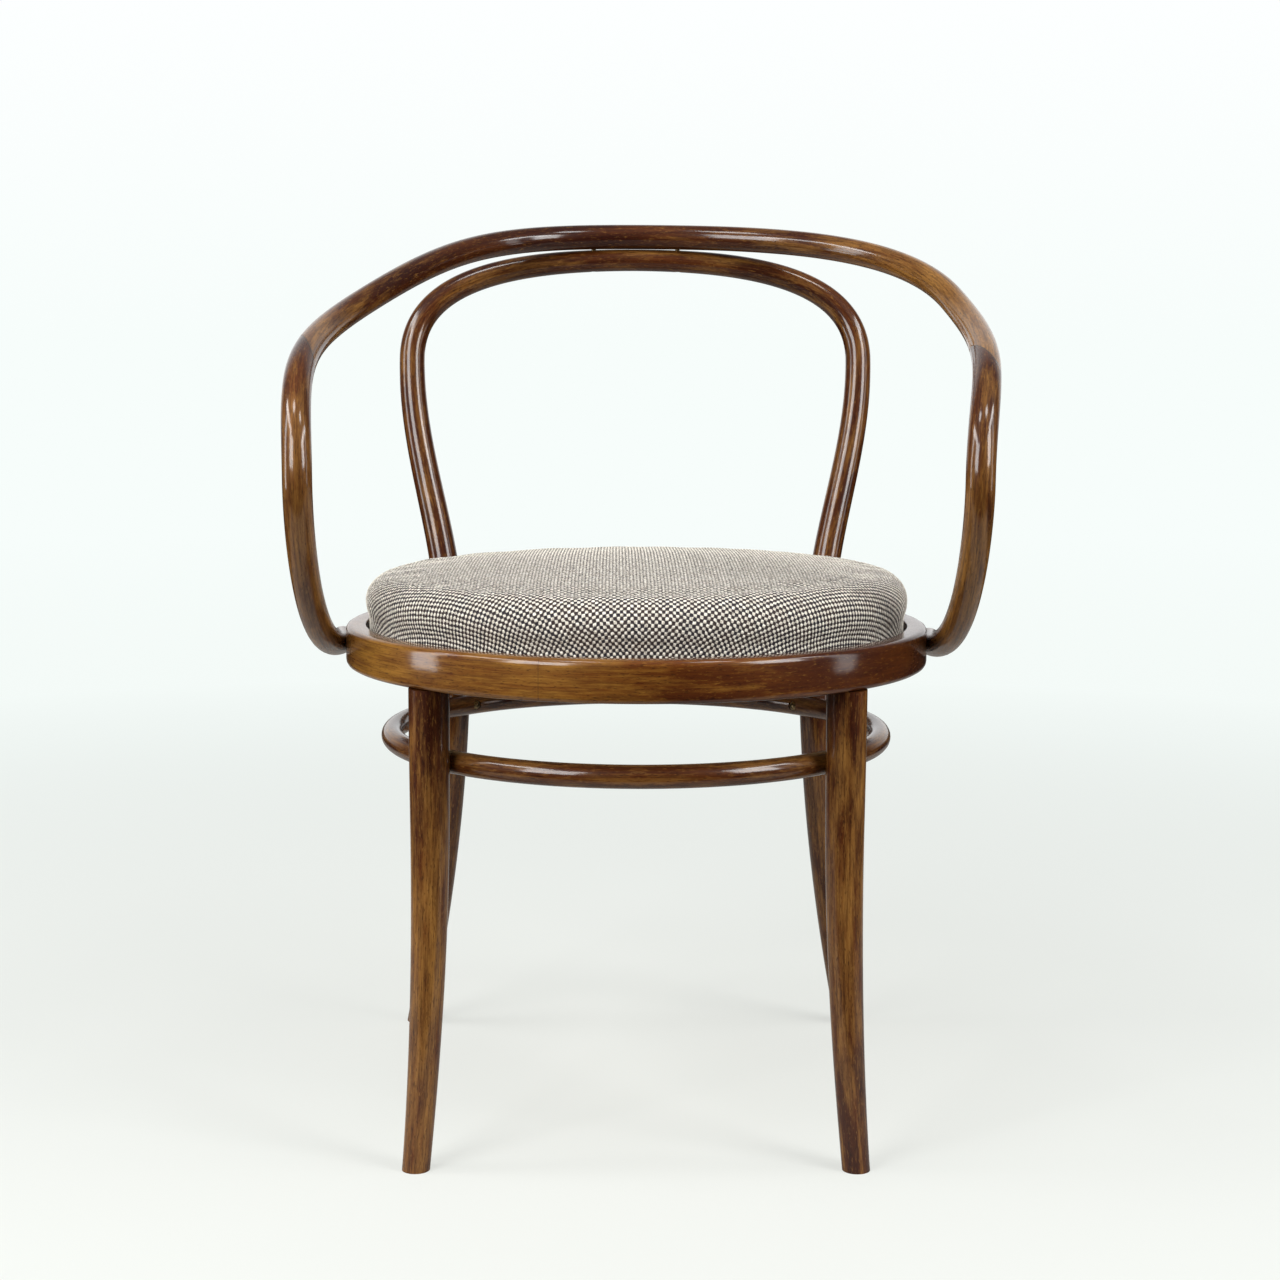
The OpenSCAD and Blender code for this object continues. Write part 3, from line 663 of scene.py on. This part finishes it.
# %% [markdown]
# The seat ring is a rectangular lath, bent into a circle with its ends glued in a scarf, and then
# rebated on the inside for the seat board. The hoop below is a round rod with the same kind of joint.

# %% Seat ring and hoop
def rounded(corners, steps=5):
    """Rounds the corners of an outline. Each corner is x, y and a radius."""
    outline = []
    for k, (x, y, r) in enumerate(corners):
        before, here = np.array(corners[k - 1][:2]), np.array((x, y))
        after = np.array(corners[(k + 1) % len(corners)][:2])
        into, out = unit(before - here), unit(after - here)
        if r == 0:
            outline.append(here)
            continue
        for t in np.linspace(0, 1, steps):
            outline.append(here + r * ((1 - t) ** 2 * into + t * t * out))
    return [(p[0], p[1], 0) for p in outline]


ring_outline = rounded([
    (RING_IN - RING_R, 0, 1.0), (0, 0, RING_EDGE_R * 1.3), (0, RING_H, RING_EDGE_R * 1.3),
    (RING_IN + LEDGE_W - RING_R, RING_H, 0.8), (RING_IN + LEDGE_W - RING_R, RING_H - REBATE_H, 0),
    (RING_IN - RING_R, RING_H - REBATE_H, 0.5)])
ring_line = round_line(RING_R, RING_Z, -108)
RING_SEAM = 0.05
ring_stations = ring_line.lengths[SPARE:361 + SPARE].copy()
ring_stations[[0, -1]] += (RING_SEAM, -RING_SEAM)
seat_ring = make_rod("bent_seat_ring", ring_line, ring_stations, np.ones(361),
                     profile=ring_outline, wood=ring_wood, flat_angle=35, joints=(0, -1))
hoop_line = round_line(HOOP_R, HOOP_H, 90)
hoop_stations = hoop_line.lengths[SPARE:361 + SPARE]
hoop = make_rod("bent_stretcher_hoop", hoop_line, hoop_stations, np.full(361, HOOP_ROD_R * FACET * MM))

# %% [markdown]
# ## Cutting the joints
# The arms' ends are flattened where they lap the ring, the rear legs are notched into it, and the
# screw heads sit in small recesses. A cutter is drawn for each, and one exact Boolean takes them off.

# %% Cutters
def outward(angle, z, distance):
    """Turns a cutter's Z axis to point out from the seat's middle, at an angle and height."""
    c, s = math.cos(angle), math.sin(angle)
    place = Vector(SEAT_MIDDLE + (distance * c, distance * s, z)) * MM
    return Matrix.Translation(place) @ Matrix(((0, -s, c), (0, c, s), (-1, 0, 0))).to_4x4()


def add_cylinder(shape, matrix, radius, length, sides=32):
    up_half = Matrix.Translation((0, 0, length * MM / 2))
    bmesh.ops.create_cone(shape, cap_ends=True, segments=sides, radius1=radius * MM,
                          radius2=radius * MM, depth=length * MM, matrix=matrix @ up_half)


def add_block(shape, matrix, size):
    bmesh.ops.create_cube(shape, size=1, matrix=matrix @ Matrix.Diagonal([s * MM for s in size] + [1]))


def floor_cutter():
    """A new cutter with all that lies under the floor. The legs' lines run on past it."""
    shape = bmesh.new()
    add_block(shape, Matrix.Translation((0, 0, -0.05)), (1500, 1500, 100))
    return shape


def made_of(name, shape):
    """A new object from a bmesh, which is used up."""
    mesh = bpy.data.meshes.new(name)
    shape.to_mesh(mesh)
    shape.free()
    return new_object(name, mesh)


def cut(obj, shape):
    """Takes the cutter's solids off obj."""
    cutter = made_of("cutter", shape)
    modifier = obj.modifiers.new("cut", "BOOLEAN")
    modifier.object, modifier.operation, modifier.solver = cutter, "DIFFERENCE", "EXACT"
    modifier.use_self = True
    keep_result(obj)
    obj.data.set_sharp_from_angle(angle=math.radians(40))
    discard(cutter)
    print("cut", obj.name, len(obj.data.polygons), "faces")


# %% Cuts
BACK_ANGLES = [math.atan2(171, side * 165) for side in (1, -1)]
BACK_HOOP_ANGLES = [math.atan2(math.sqrt(KNEE_OUT ** 2 - 160 ** 2), side * 160) for side in (1, -1)]
HOUSING_R, BLOCK_MID_Z = RING_R - 6.0, SEAT_H - REBATE_H - 2.0 - 9.0
SCREW_HEAD_R, BOLT_HEAD_R, HOOP_SINK, CREST_SINK, DRILLED = 4.2, 7.1, 1.5, 4.0, 22.0
bolt_leg = back.points[int((BACK_STEPS + LOOP_STEPS + 1.04 * STILE_STEPS) * FINE)]
BOLT_OUT = math.hypot(bolt_leg[0], bolt_leg[1]) + BACK_LEG_D / 2 - 3.0

for arm in (left_arm, right_arm):
    shape = bmesh.new()
    add_cylinder(shape, CHAIR_SHIFT @ Matrix.Translation((0, 0, (RING_Z - 20) * MM)),
                 RING_R + 0.1, 90, 360)
    cut(arm, shape)

shape = floor_cutter()
for angle in BACK_ANGLES:
    add_block(shape, outward(angle, RING_MID_Z, HOUSING_R - RING_T / 2),
              (RING_H + 0.2, 2 * RING_T, RING_T))
    add_cylinder(shape, outward(angle, BLOCK_MID_Z, BOLT_OUT), BOLT_HEAD_R, RING_T)
CREST_SCREW_STEPS = 2.55
for side in (-1, 1):
    low = back.points[round((BACK_STEPS + side * CREST_SCREW_STEPS) * FINE)]
    high_step = CREST_SCREW_STEPS * 112 * CREST_STEPS / (129 * LOOP_STEPS)
    high = bow.points[round((HALF_STEPS + side * high_step) * FINE)]
    rise = unit((0, high[1] - low[1], high[2] - low[2]))
    start = Vector(low - (LOOP_D / 2 - CREST_SINK + 20) * rise + SEAT_MIDDLE) * MM
    turn = Matrix.Rotation(-math.atan2(rise[1], rise[2]), 4, "X")
    add_cylinder(shape, Matrix.Translation(start) @ turn, SCREW_HEAD_R, 20)
cut(back_frame, shape)

for leg in front_legs.values():
    cut(leg, floor_cutter())

shape = bmesh.new()
for angle in (*FRONT_ANGLES.values(), *BACK_HOOP_ANGLES):
    add_cylinder(shape, outward(angle, HOOP_H, HOOP_R - HOOP_ROD_R + HOOP_SINK - DRILLED),
                 SCREW_HEAD_R, DRILLED)
cut(hoop, shape)

shape = bmesh.new()
for angle in BACK_ANGLES:
    add_block(shape, outward(angle, RING_MID_Z, HOUSING_R + RING_T / 2),
              (RING_H + 2, BACK_LEG_D + 3, RING_T))
cut(seat_ring, shape)

# %% [markdown]
# Hands have rubbed the arms and one side of the crest pale, calves the legs, and the middle of the
# crest has kept its dark stain. Each rod gets a few values along its line for that. The rail and the
# arms share the bow's line but not its values: the rail is pale up to its scarf joints and the arms
# start dark there, which shows each arm's rounded tongue, as in the photograph. The rail's pale
# shoulders are partly worn stain and partly painted reflection, standing for the varnish's grey sheen.

# %% Grain and riding
def stand_for(obj, node):
    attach(obj, "root")
    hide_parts(node)


# the crest rail's pale shoulders are partly worn stain and partly painted reflection of the varnish's
# grey sheen
rail_wear_and_painted_sheen = (0.6, 0.7, 0.6, 0.6, 0.2, 0.05, 0.0, 0.45, 0.9, 0.95, 0.65, 0.85, 0.5)
arm_wear = (0.6, 0.7, 0.5, 0.0, 0.0, 0.1, 0.0, 0.5, 0.9, 0.0, 0.5, 0.85, 0.5)
back_wear = (0.5, 0.5, 0.4, 0.2, 0.3, 0.35, 0.35, 0.3, 0.4, 0.2, 0.4, 0.5, 0.5)
ring_wear = (0.7, 0.55, 0.9, 0.8, 0.5, 0.4, 0.4, 0.4, 0.4, 0.4, 0.4, 0.35, 0.3, 0.2, 0.1, 0.0, 0.0,
             0.0, 0.2, 0.45, 0.7)
left_wear, right_wear = (0.25, 0.65, 0.65, 0.55, 0.3, 0.15), (0.05, 0.5, 0.7, 0.7, 0.65, 0.5)
hoop_wear = (0.3, 0.4, 0.3, 0.4, 0.3)
for k, (obj, node, line, rubbed, spare) in enumerate([
        (crest_rail, "crest_rail", bow, rail_wear_and_painted_sheen, 0),
        (left_arm, "left_arm", bow, arm_wear, 0), (right_arm, "right_arm", bow, arm_wear, 0),
        (back_frame, "back_frame", back, back_wear, 0),
        (front_legs["left"], "front_leg_left", leg_lines["left"], left_wear, 0),
        (front_legs["right"], "front_leg_right", leg_lines["right"], right_wear, 0),
        (seat_ring, "seat_ring", ring_line, ring_wear, SPARE),
        (hoop, "stretcher_hoop", hoop_line, hoop_wear, SPARE)]):
    give_grain(obj, line, 5000 * k, rubbed, spare)
    stand_for(obj, node)

# %% [markdown]
# ## The woven cover
# The seat is foam on a plywood board, under a plain-woven cloth. The cloth is flat on the loom, and
# it is pulled down all round, so a point keeps its distance from the middle as it goes over the rim.
# A square grid of threads is drawn flat and then laid over the cushion by that rule. Cream threads
# cross over dark ones in every other square, and stand up there as small beads.

# %% The cushion's outline
def cushion_outline(inset):
    """Points from the middle of the crown out and down to the foot of the side, radius and height."""
    foot = np.array((BOARD_D / 2 + COVER_T - inset, BOARD_Z))
    side = np.array((BOARD_D / 2 + COVER_T + SWELL - inset, BOARD_TOP + RIM_H - RIM_R))
    rim = np.array((BOARD_D / 2 + COVER_T + SWELL - RIM_R, BOARD_TOP + RIM_H - inset))
    crown = np.array((0, BOARD_TOP + CROWN_H - inset))
    rise = np.array((0, (RIM_H - RIM_R) / 2))
    inward = np.array((-rim[0] / 2, 0))
    up_side = bend((foot[0], BOARD_TOP), rise, side, rise, 4)
    over_rim = bend(side, (0, RIM_R / 2), rim, (-RIM_R / 2, 0), 9)
    over_crown = bend(rim, inward + (0, (CROWN_H - RIM_H) / 2), crown, inward, 9)
    return np.vstack([over_crown[::-1], over_rim[::-1], up_side[::-1], [foot]])


top_outline = cushion_outline(0)
hem = [(BOARD_D / 2 + COVER_T, BOARD_Z - 1.6), (BOARD_D / 2 - HEM_W, BOARD_Z - 1.6)]
cover_outline = np.vstack([[(0, BOARD_TOP + CROWN_H)], top_outline, hem])
cover_lengths = np.concatenate([[0], np.cumsum(np.linalg.norm(np.diff(cover_outline, axis=0), axis=1))])
print("cloth from middle to hem:", round(cover_lengths[-1]), "mm")

# %% [markdown]
# ## Filling the cushion
# The foam is cut a little small and presses its cover out, so no two places bulge quite alike. A
# lathed pad is remeshed in even cells, held at its foot, and blown up by the Cloth modifier. The
# lathe's outline has to reach the middle at both ends: a pad with a hole in it can't be remeshed.

# %% The foam pad
PAD_INSET, PAD_CELL, HELD_H, MOST_OUT = 3.2, 6.0, 7.0, 2.5
PRESSURE, FRAMES = 4, 20
pad_outline = np.vstack([[(0, BOARD_TOP + CROWN_H - PAD_INSET)], cushion_outline(PAD_INSET)[:-1],
                         [(0, BOARD_TOP + 0.1)]])
pad_outline[-2, 1] = BOARD_TOP + 0.1
shape = bmesh.new()
profile = [shape.verts.new((r * MM, 0, z * MM)) for r, z in pad_outline]
rim_edges = [shape.edges.new(pair) for pair in zip(profile, profile[1:])]
bmesh.ops.spin(shape, geom=profile + rim_edges, axis=(0, 0, 1), cent=(0, 0, 0),
               angle=2 * math.pi, steps=96)
bmesh.ops.remove_doubles(shape, verts=shape.verts, dist=0.02 * MM)
bmesh.ops.recalc_face_normals(shape, faces=shape.faces)
pad = face_out(made_of("foam_pad", shape))

# %% Blow it up
remesh = pad.modifiers.new("even cells", "REMESH")
remesh.mode, remesh.voxel_size = "VOXEL", PAD_CELL * MM
keep_result(pad)
pad_rest, pad_out = corners(pad.data), corners(pad.data, "normal")
pad_moves = np.zeros_like(pad_rest)
low = np.flatnonzero(pad_rest[:, 2] < (BOARD_TOP + HELD_H) * MM).tolist()
pad.vertex_groups.new(name="foot").add(low, 1.0, "REPLACE")
cloth = pad.modifiers.new("fill", "CLOTH")
cloth.settings.use_pressure = True
cloth.settings.uniform_pressure_force = PRESSURE
cloth.settings.effector_weights.gravity = 0
cloth.settings.vertex_group_mass = "foot"
for number in range(1, FRAMES + 1):
    bpy.context.scene.frame_set(number)
keep_result(pad)
bpy.context.scene.frame_set(1)
pad_moves = corners(pad.data) - pad_rest
far = np.linalg.norm(pad_moves, axis=1)
print("filled: moved", round(far.mean() / MM, 2), "mm, most", round(far.max() / MM, 2), "mm")
pad_moves *= np.minimum(1, MOST_OUT * MM / np.maximum(far, 1e-9))[:, None]
pad.vertex_groups.clear()

# %% The cover's tree
THREAD, RELIEF = 2.6, 0.3
woven_cover, given, made = new_tree("Woven cover", [
    ("Start", "Geometry"), ("Outline", "Object"), ("Reach", "Float"), ("Thread", "Float"),
    ("Relief", "Float"), ("Cloth", "Material")])


def weave(tree, cloth, turn, wobble=0.0):
    """1 in the middle of a bead, down to -1 between two beads."""
    parts = axes(tree, cloth)
    return maths(tree, "MULTIPLY", *(
        maths(tree, "COSINE", maths(tree, "MULTIPLY_ADD", parts[k], turn, wobble)) for k in (0, 1)))


def build_woven_cover(tree):
    reach, thread = given.outputs["Reach"], given.outputs["Thread"]
    half = maths(tree, "CEIL", maths(tree, "DIVIDE", reach, maths(tree, "MULTIPLY", thread, 0.5)))
    count = maths(tree, "MULTIPLY_ADD", half, 2.0, 1.0)
    width = maths(tree, "MULTIPLY", half, thread)
    grid = add(tree, "GeometryNodeMeshGrid", {
        "Size X": width, "Size Y": width, "Vertices X": count, "Vertices Y": count})
    cloth = named(tree, "cloth", "FLOAT_VECTOR")
    from_middle = length_of(tree, cloth)
    beyond = maths(tree, "GREATER_THAN", from_middle, maths(tree, "MULTIPLY_ADD", thread, 0.35, reach))
    trimmed = add(tree, "GeometryNodeDeleteGeometry", {
        "Geometry": keep_place(tree, grid.outputs["Mesh"], "cloth"), "Selection": beyond},
        domain="POINT")
    on_outline = add(tree, "GeometryNodeSampleCurve", {
        "Curves": curve_of(tree, given.outputs["Outline"]),
        "Length": maths(tree, "MINIMUM", from_middle, reach)},
        data_type="FLOAT", mode="LENGTH", use_all_curves=True)
    place = axes(tree, output(on_outline, "Position"))
    flat = times(tree, vector_maths(tree, "NORMALIZE", cloth), place[0])
    high = add(tree, "ShaderNodeCombineXYZ", {2: place[2]})
    laid = add(tree, "GeometryNodeSetPosition", {
        "Geometry": trimmed.outputs[0], "Position": vector_maths(tree, "ADD", flat, high.outputs[0])})
    beads = weave(tree, cloth, maths(tree, "DIVIDE", math.pi, thread))
    lift = maths(tree, "MULTIPLY", maths(tree, "SUBTRACT", beads, 1.0), given.outputs["Relief"])
    pushed = add(tree, "GeometryNodeSetPosition", {
        "Geometry": laid.outputs[0],
        "Offset": times(tree, add(tree, "GeometryNodeInputNormal").outputs[0], lift)})
    hand_over(tree, pushed.outputs[0], given.outputs["Cloth"])


build_woven_cover(woven_cover)

# %% [markdown]
# ## The cloth's finish
# The cloth is wool: cream yarn over dark navy and brown yarn. Where the light grazes it, the fuzz on
# the yarn catches it, which a soft sheen gives.

# %% Cloth material
def woven_wool(name):
    material, tree = new_material(name)
    cloth = attribute(tree, "cloth", "Vector")
    wobble = maths(tree, "MULTIPLY_ADD", noise(tree, cloth, (7, 7, 7), 3.0), 1.8, -0.9)
    beads = weave(tree, cloth, math.pi / (THREAD * MM), wobble)
    tone = noise(tree, cloth, (2.2, 2.2, 2.2), 2.0)
    patches = noise(tree, cloth, (16, 16, 16), 2.0)
    thick = maths(tree, "MULTIPLY_ADD", tone, 0.9, maths(tree, "SUBTRACT", beads, 0.45))
    cream = fit(tree, thick, -0.06, 0.34)
    light = ramp(tree, fit(tree, tone, 0.32, 0.66), (0.0, "#aaa296"), (0.45, "#dfd8c9"),
                 (1.0, "#fbf6ea"))
    depth = ramp(tree, fit(tree, patches, 0.4, 0.6), (0.0, "#15111c"), (1.0, "#2b1d1c"))
    colour = mix_colour(tree, cream, depth, light)
    fibre = noise(tree, cloth, (0.6, 0.6, 0.6), 2.0)
    colour = mix_colour(tree, fit(tree, fibre, 0.4, 0.75, 0.0, 0.3), colour, linear("#5b5049"))
    height = maths(tree, "MULTIPLY_ADD", fibre, 0.25, beads)
    return principled(material, tree, Base_Color=colour, Roughness=0.95, Sheen_Weight=0.1,
                      Sheen_Roughness=0.5, Normal=bump(tree, 0.8, 0.0005, height))


cover_wool = woven_wool("woven_wool_cover")

# %% Lay the cover
outline_points = polyline("outline", [(r, 0, z) for r, z in cover_outline])
cover = grow("woven_seat_cover", woven_cover, polyline("start", [(0, 0, 0), (1, 0, 0)]), {
    "Outline": outline_points, "Reach": cover_lengths[-1] * MM, "Thread": THREAD * MM,
    "Relief": RELIEF * MM, "Cloth": cover_wool})
discard(outline_points)

# %% [markdown]
# The cloth follows the filled pad: each point takes the moves of the pad's nearest points. The usual
# move at its height is taken off again, because the outline is already that of a filled cushion. The
# padding also lies 3 mm higher on the sitter's left.

# %% The cloth follows the pad
LIFTED = 3.0
on_pad = finder(pad_rest)
levels, level_half = np.linspace(0, CROWN_H, 15), 4.0
pad_levels, pad_swell = pad_rest[:, 2] / MM - BOARD_TOP, (pad_moves * pad_out).sum(1)
usual = [pad_swell[np.abs(pad_levels - level) < level_half].mean() for level in levels]
pad_moves -= np.interp(pad_levels, levels, usual)[:, None] * pad_out


def follow(places):
    """Where points of the cushion go when the pad is filled and its left side lifted."""
    moves = np.empty_like(places)
    for i, place in enumerate(places):
        near = on_pad.find_n(place, 8)
        weights = np.array([1 / (distance + 2 * MM) for _, _, distance in near])
        moves[i] = weights @ pad_moves[[k for _, k, _ in near]] / weights.sum()
    high = np.clip((places[:, 2] / MM - BOARD_TOP) / CROWN_H, 0, 1)[:, None]
    lift = np.array((0, 0, LIFTED * MM)) * high * (places[:, :1] / MM / BOARD_D)
    return places + moves * np.minimum(1, 2 * high) + lift


def store(mesh, places):
    mesh.vertices.foreach_set("co", places.ravel())
    mesh.update()


store(cover.data, follow(corners(cover.data)))
store(pad.data, follow(pad_rest))
smooth = pad.modifiers.new("smooth", "SUBSURF")
smooth.levels = smooth.render_levels = 1
keep_result(pad)
pad.data.transform(CHAIR_SHIFT)
pad.data.shade_smooth()
face_out(pad)
stand_for(pad, "seat_foam")

# %% Close the cover at its hem
cover.data.transform(CHAIR_SHIFT)
shape = bmesh.new()
shape.from_mesh(cover.data)
open_edges = [e for e in shape.edges if e.is_boundary]
turned_in = bmesh.ops.extrude_edge_only(shape, edges=open_edges)
lifted = [v for v in turned_in["geom"] if isinstance(v, bmesh.types.BMVert)]
bmesh.ops.translate(shape, verts=lifted, vec=(0, 0, 3.0 * MM))
bmesh.ops.edgeloop_fill(shape, edges=[e for e in shape.edges if e.is_boundary])
bmesh.ops.recalc_face_normals(shape, faces=shape.faces)
shape.to_mesh(cover.data)
shape.free()
cover.data.shade_smooth()
cover.data.set_sharp_from_angle(angle=math.radians(70))
face_out(cover)
stand_for(cover, "seat_cover")

# %% [markdown]
# ## Foam, board, blocks and metal
# What lies under the cover is seen from below: the plywood board, the hem with its staples, the
# corner blocks and the screws.

# %% Materials of what is underneath
def plain_wood(name, light, dark, stretch, roughness):
    material, tree = new_material(name)
    fibres = noise(tree, own_place(tree), stretch, 4.0)
    colour = ramp(tree, fit(tree, fibres, 0.3, 0.7), (0.0, dark), (1.0, light))
    return principled(material, tree, Base_Color=colour, Roughness=roughness, IOR=1.5,
                      Normal=bump(tree, 0.3, 0.0002, fibres))


def metal(name, colour, stain, roughness):
    material, tree = new_material(name)
    marks = noise(tree, own_place(tree), (1.5, 1.5, 1.5), 3.0)
    tint = mix_colour(tree, fit(tree, marks, 0.45, 0.7), linear(colour), linear(stain))
    return principled(material, tree, Base_Color=tint, Metallic=1.0,
                      Roughness=fit(tree, marks, 0.3, 0.7, roughness, roughness + 0.2))


def foam(name):
    material, tree = new_material(name)
    cells = add(tree, "ShaderNodeTexVoronoi", {
        "Vector": times(tree, own_place(tree), 700), "Scale": 1.0})
    colour = ramp(tree, fit(tree, cells.outputs[0], 0.2, 0.7), (0.0, "#cdbf86"), (1.0, "#eee3b4"))
    return principled(material, tree, Base_Color=colour, Roughness=1.0)


looks = {
    "raw_beech": plain_wood("raw_beech_blocks", "#d3ab77", "#b98d58", (25, 25, 1.2), 0.7),
    "plywood": plain_wood("birch_plywood", "#d9bd8e", "#bf9c68", (60, 2, 2), 0.65),
    "foam": foam("upholstery_foam"),
    "galvanised_wire": metal("galvanised_staple_wire", "#b9bcc0", "#8f9296", 0.35),
    "blackened_steel": metal("blackened_steel_bolts", "#4a4744", "#2b2826", 0.4),
    "zinc_steel": metal("tarnished_zinc_steel", "#8a7a5c", "#1d1610", 0.3),
    "brass_screw": metal("brassed_screws", "#b08d4f", "#6e5a34", 0.35)}
node_slots = {part["node"]: part["material_slot"] for part in frame["record"]["subparts"]}
for node, obj in {**frame["nodes"], "seat_foam": pad}.items():
    if node_slots[node] in looks:
        obj.data.materials.clear()
        obj.data.materials.append(looks[node_slots[node]])
print("finished CAD nodes:", sum(slot in looks for slot in node_slots.values()))

# %% [markdown]
# ## Floor, backdrop and light
# The chair stands in a white studio. The camera sees a sheet of white paper and a white wall, with
# the soft shadow that the lamps put on the paper, and a painted shade that makes the paper's own glow
# a little darker towards the chair. Other rays see a darker room: grey paper near the chair, a dark
# floor past it, a bright strip of backdrop behind and a dim ceiling. That keeps the varnish dark where
# the photograph's is. The lamps stand where the photograph's highlights put them.

# %% Studio
PAPER_FRONT, PAPER_HALF = -0.5, 0.8  # metres: past these lies the dark floor of the room


def mix_shader(tree, share, a, b):
    return add(tree, "ShaderNodeMixShader", {0: share, 1: a, 2: b}).outputs[0]


def for_camera(tree):
    return add(tree, "ShaderNodeLightPath").outputs["Is Camera Ray"]


def white_sheet(name):
    """White paper. The camera sees a glow with painted shade that darkens it towards the chair, and
    near the chair a share of the light on it.
    """
    material, tree = new_material(name)
    place = own_place(tree)
    parts, away = axes(tree, place), length_of(tree, place)
    # painted shade: this tone makes the paper's glow a little darker and greyer towards the chair
    tone = ramp(tree, fit(tree, away, 0.1, 5.6), (0.0, "#edefea"), (0.12, "#f0f4f0"),
                (0.33, "#f4faf7"), (1.0, "#f7fdfb"))
    lit, bounce, room_floor = (
        add(tree, "ShaderNodeBsdfDiffuse", {"Color": linear(colour)}).outputs[0]
        for colour in ("#dcdeda", "#a9a59f", "#2a2624"))
    inside = fit(tree, maths(tree, "ABSOLUTE", parts[0]), PAPER_HALF, PAPER_HALF + 0.2, 1.0, 0.0)
    inside = maths(tree, "MULTIPLY", inside, fit(tree, parts[1], PAPER_FRONT - 0.1, PAPER_FRONT))
    glow_with_painted_shade = add(tree, "ShaderNodeEmission", {"Color": tone, "Strength": 1.0}).outputs[0]
    shown = mix_shader(tree, fit(tree, away, 0.5, 2.4, 0.68, 1.0), lit, glow_with_painted_shade)
    sheet = mix_shader(tree, inside, room_floor, bounce)
    both = mix_shader(tree, for_camera(tree), sheet, shown)
    add(tree, "ShaderNodeOutputMaterial", {0: both})
    return material


floor_mesh = bpy.data.meshes.new("floor")
floor_mesh.from_pydata([(-30, -30, 0), (30, -30, 0), (30, 30, 0), (-30, 30, 0)], [], [(0, 1, 2, 3)])
floor_mesh.materials.append(white_sheet("studio_paper"))
floor = new_object("floor", floor_mesh)

world = bpy.data.worlds.new("studio")
bpy.context.scene.world = world
world.use_nodes = True
tree = world.node_tree
tree.nodes.clear()
ways = axes(tree, add(tree, "ShaderNodeTexCoord").outputs["Generated"])
backdrop = fit(tree, ways[1], 0.6, 0.95, 0.015, 1.0)
ceiling = fit(tree, ways[2], 0.4, 0.95, 0.0, 0.2)
room = add(tree, "ShaderNodeBackground", {
    "Color": linear("#ffffff"), "Strength": maths(tree, "MAXIMUM", backdrop, ceiling)})
seen = add(tree, "ShaderNodeBackground", {
    "Color": ramp(tree, fit(tree, ways[2], 0.0, 0.14), (0.0, "#f7fdfb"), (1.0, "#fdffff"))})
add(tree, "ShaderNodeOutputWorld", {
    0: mix_shader(tree, for_camera(tree), room.outputs[0], seen.outputs[0])})

for name, place, aim_height, (width, height), power in [  # metres and watts
        ("softbox_left", (-1.5, -1.9, 1.5), 0.5, (1.1, 1.4), 51),
        ("softbox_right", (1.9, -1.4, 1.5), 0.5, (0.9, 1.3), 41),
        ("strip_left", (-1.35, -0.45, 1.75), 0.5, (1.5, 0.25), 14),
        ("strip_right", (1.4, -0.45, 1.7), 0.5, (1.1, 0.25), 10),
        ("spot_left", (-0.5, -0.45, 2.2), 0.5, (0.35, 0.35), 4.5),
        ("spot_right", (0.55, -0.5, 2.0), 0.5, (0.3, 0.3), 3.5),
        ("window_left", (-2.2, -0.2, 1.1), 0.9, (0.5, 2.0), 20),
        ("window_right", (2.2, -0.3, 1.1), 0.9, (0.4, 2.0), 7)]:
    light = bpy.data.lights.new(name, "AREA")
    light.shape, light.size, light.size_y, light.energy = "RECTANGLE", width, height, power
    lamp = new_object(name, light)
    lamp.location = place
    aim = Vector((0, 0, aim_height)) - lamp.location
    lamp.rotation_euler = aim.to_track_quat("-Z", "Y").to_euler()
bpy.context.scene.view_settings.view_transform = "Standard"
